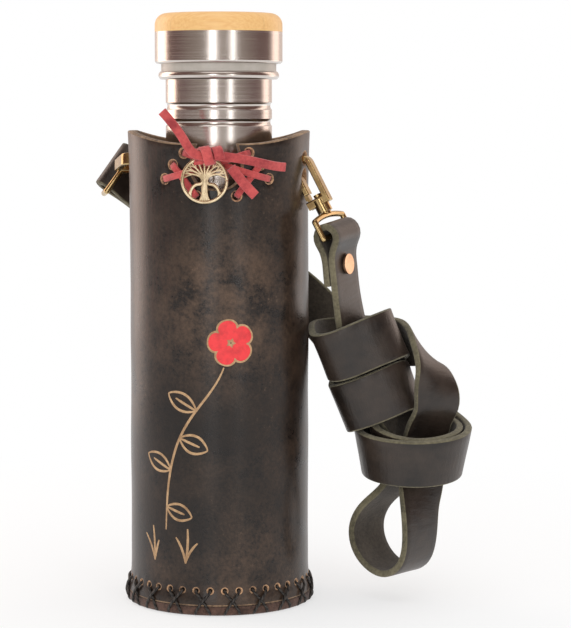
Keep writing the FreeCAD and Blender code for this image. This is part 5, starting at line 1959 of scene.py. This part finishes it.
@dataclass
class Fittings(Assembly):
    """Packed metal, wood and plastic pieces that only need their finish."""

    sides: tuple[str, str] = ("right", "left")

    def finish_of(self) -> dict[str, Material]:
        """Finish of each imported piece.

        Returns:
            Node names and materials.
        """
        finishes = self.finishes
        chosen = {
            "bottle_body": finishes.steel, "cap_shell": finishes.steel, "cap_top": finishes.bamboo,
            "cap_plug": finishes.plug, "cap_gasket": finishes.seal, "charm_ring": finishes.charm,
        }
        for side in self.sides:
            for part in ("hook_body", "hook_gate", "gate_pin", "swivel_eye"):
                chosen[f"{side}_{part}"] = finishes.brass
            for part in ("rivet_post", "rivet_cap"):
                chosen[f"{side}_{part}"] = finishes.copper
        return chosen

    def build(self) -> list[Piece]:
        """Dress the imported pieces.

        Returns:
            The pieces.
        """
        pieces = []
        for node, material in self.finish_of().items():
            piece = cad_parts[node]
            if not piece.material_slots:
                piece.data.materials.append(material)
            for slot in piece.material_slots:
                slot.material = material
            pieces.append(piece)
        return pieces


@dataclass
class Lamp:
    """One soft box."""

    name: str
    place: Point
    aim: Point
    size: Pair
    power: float
    colour: Point = WHITE

    def build(self) -> None:
        """Hang the lamp."""
        data = bpy.data.lights.new(self.name, "AREA")
        data.shape, data.size, data.size_y = "RECTANGLE", *self.size
        data.energy = self.power
        data.color = self.colour
        lamp = bpy.data.objects.new(self.name, data)
        lamp.location = self.place
        lamp.rotation_euler = (Vector(self.aim) - Vector(self.place)).to_track_quat("-Z", "Y").to_euler()
        bpy.context.scene.collection.objects.link(lamp)


@dataclass
class Studio:
    """White room, lamps and camera; sizes in metres."""

    camera_place: Point = (0.029, -0.970, 0.219)
    camera_pitch: float = 5.50
    lens: float = 127.2
    sensor: float = 36.0
    near: float = 0.01
    floor_rings: tuple[float, ...] = (4.0, 1.6, 0.8, 0.4, 0.2, 0.1, 0.05, 0.0001)
    floor_z: float = -0.0002
    floor_shade: float = 0.93
    fade_from: float = 0.08
    fade_to: float = 0.40
    glow_near: float = 0.6
    room: float = 0.74
    room_front: Point = (0.26, 0.205, 0.17)
    room_side: Point = (0.14, 0.070, 0.060)
    room_behind: Point = (0.84, 0.72, 0.66)
    warm: Point = (1.0, 0.77, 0.65)
    middle: Point = (0.01, 0.0, 0.13)

    def lamps(self) -> list[Lamp]:
        """Soft boxes round the object."""
        return [
            Lamp("left_box", (-0.72, 0.45, 0.30), self.middle, (0.52, 0.9), 3.4, self.warm),
            Lamp("right_box", (0.66, 0.47, 0.30), self.middle, (0.34, 0.9), 1.1, self.warm),
            Lamp("top_box", (0.0, -0.25, 1.1), self.middle, (0.8, 0.8), 2.5),
            Lamp("left_strip", (-0.24, -1.48, 0.35), self.middle, (0.26, 0.9), 3.0),
            Lamp("right_strip", (0.68, -1.34, 0.35), self.middle, (0.16, 0.9), 1.8),
        ]

    def world(self) -> None:
        """White room for the camera, an even dimmer light, and warm dark sides in reflections."""
        world = bpy.data.worlds.new("room")
        world.use_nodes = True
        nodes = Nodes(world.node_tree, "Generated")
        front, side, behind = self.room_front, self.room_side, self.room_behind
        stops = ((0.10, front), (0.40, side), (0.63, side), (0.71, behind))
        walls = nodes.ramp(nodes.spread(nodes.axis("Y"), -1.0, 1.0, 0.0, 1.0), *stops)
        path = nodes.add("LightPath").outputs
        seen = nodes.maths("MAXIMUM", path["Is Camera Ray"], path["Is Transmission Ray"])
        shade = nodes.mixed(path["Is Glossy Ray"], (self.room, self.room, self.room), walls)
        nodes.fill(nodes.tree.nodes["Background"].inputs["Color"], nodes.mixed(seen, shade, WHITE))
        bpy.context.scene.world = world

    def floor(self) -> None:
        """Pale floor that keeps the shadow near the object and turns to white away from it."""
        shader = Shader("studio_floor")
        shade = (self.floor_shade, self.floor_shade, self.floor_shade, 1.0)
        shader.set(Base_Color=shade, Roughness=0.9, Specular_IOR_Level=0.1)
        away = shader.away_from((0.0, 0.0, 0.0))
        share = shader.spread(away, self.fade_from, self.fade_to, self.glow_near, 1.0)
        glow = shader.add("Emission").outputs["Emission"]
        mix = shader.add("MixShader", share, shader.surface.outputs["BSDF"], glow)
        shader.fill(shader.tree.nodes["Material Output"].inputs["Surface"], mix.outputs["Shader"])
        outline = [(radius, self.floor_z) for radius in self.floor_rings]
        floor = turned_object("studio_floor", outline, shader.material, steps=96)

    def camera(self) -> None:
        """Camera at the photograph's place."""
        data = bpy.data.cameras.new("camera")
        data.lens, data.sensor_width, data.sensor_fit = self.lens, self.sensor, "AUTO"
        data.clip_start = self.near
        camera = bpy.data.objects.new("camera", data)
        camera.location = self.camera_place
        camera.rotation_euler = (math.radians(90.0 - self.camera_pitch), 0.0, 0.0)
        bpy.context.scene.collection.objects.link(camera)
        bpy.context.scene.camera = camera

    def build(self) -> None:
        """Set up the room."""
        self.world()
        self.floor()
        for lamp in self.lamps():
            lamp.build()
        self.camera()
        bpy.context.scene.view_settings.view_transform = "Standard"


def main() -> None:
    """Build and dress every piece."""
    logging.basicConfig(level=logging.INFO, format="%(message)s")
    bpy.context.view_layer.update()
    finishes = Finishes()
    form = SleeveForm()
    assemblies = (
        Sleeve(finishes, form), Tooling(finishes, form), Base(finishes, form), Lacing(finishes, form),
        Strap(finishes, StrapRoute(form)), Charm(finishes), Fittings(finishes),
    )
    for assembly in assemblies:
        for piece in assembly.build():
            LOG.info("%s: %s, %d faces", type(assembly).__name__, piece.name, len(piece.data.polygons))
    Studio().build()


if __name__ == "__main__":
    main()
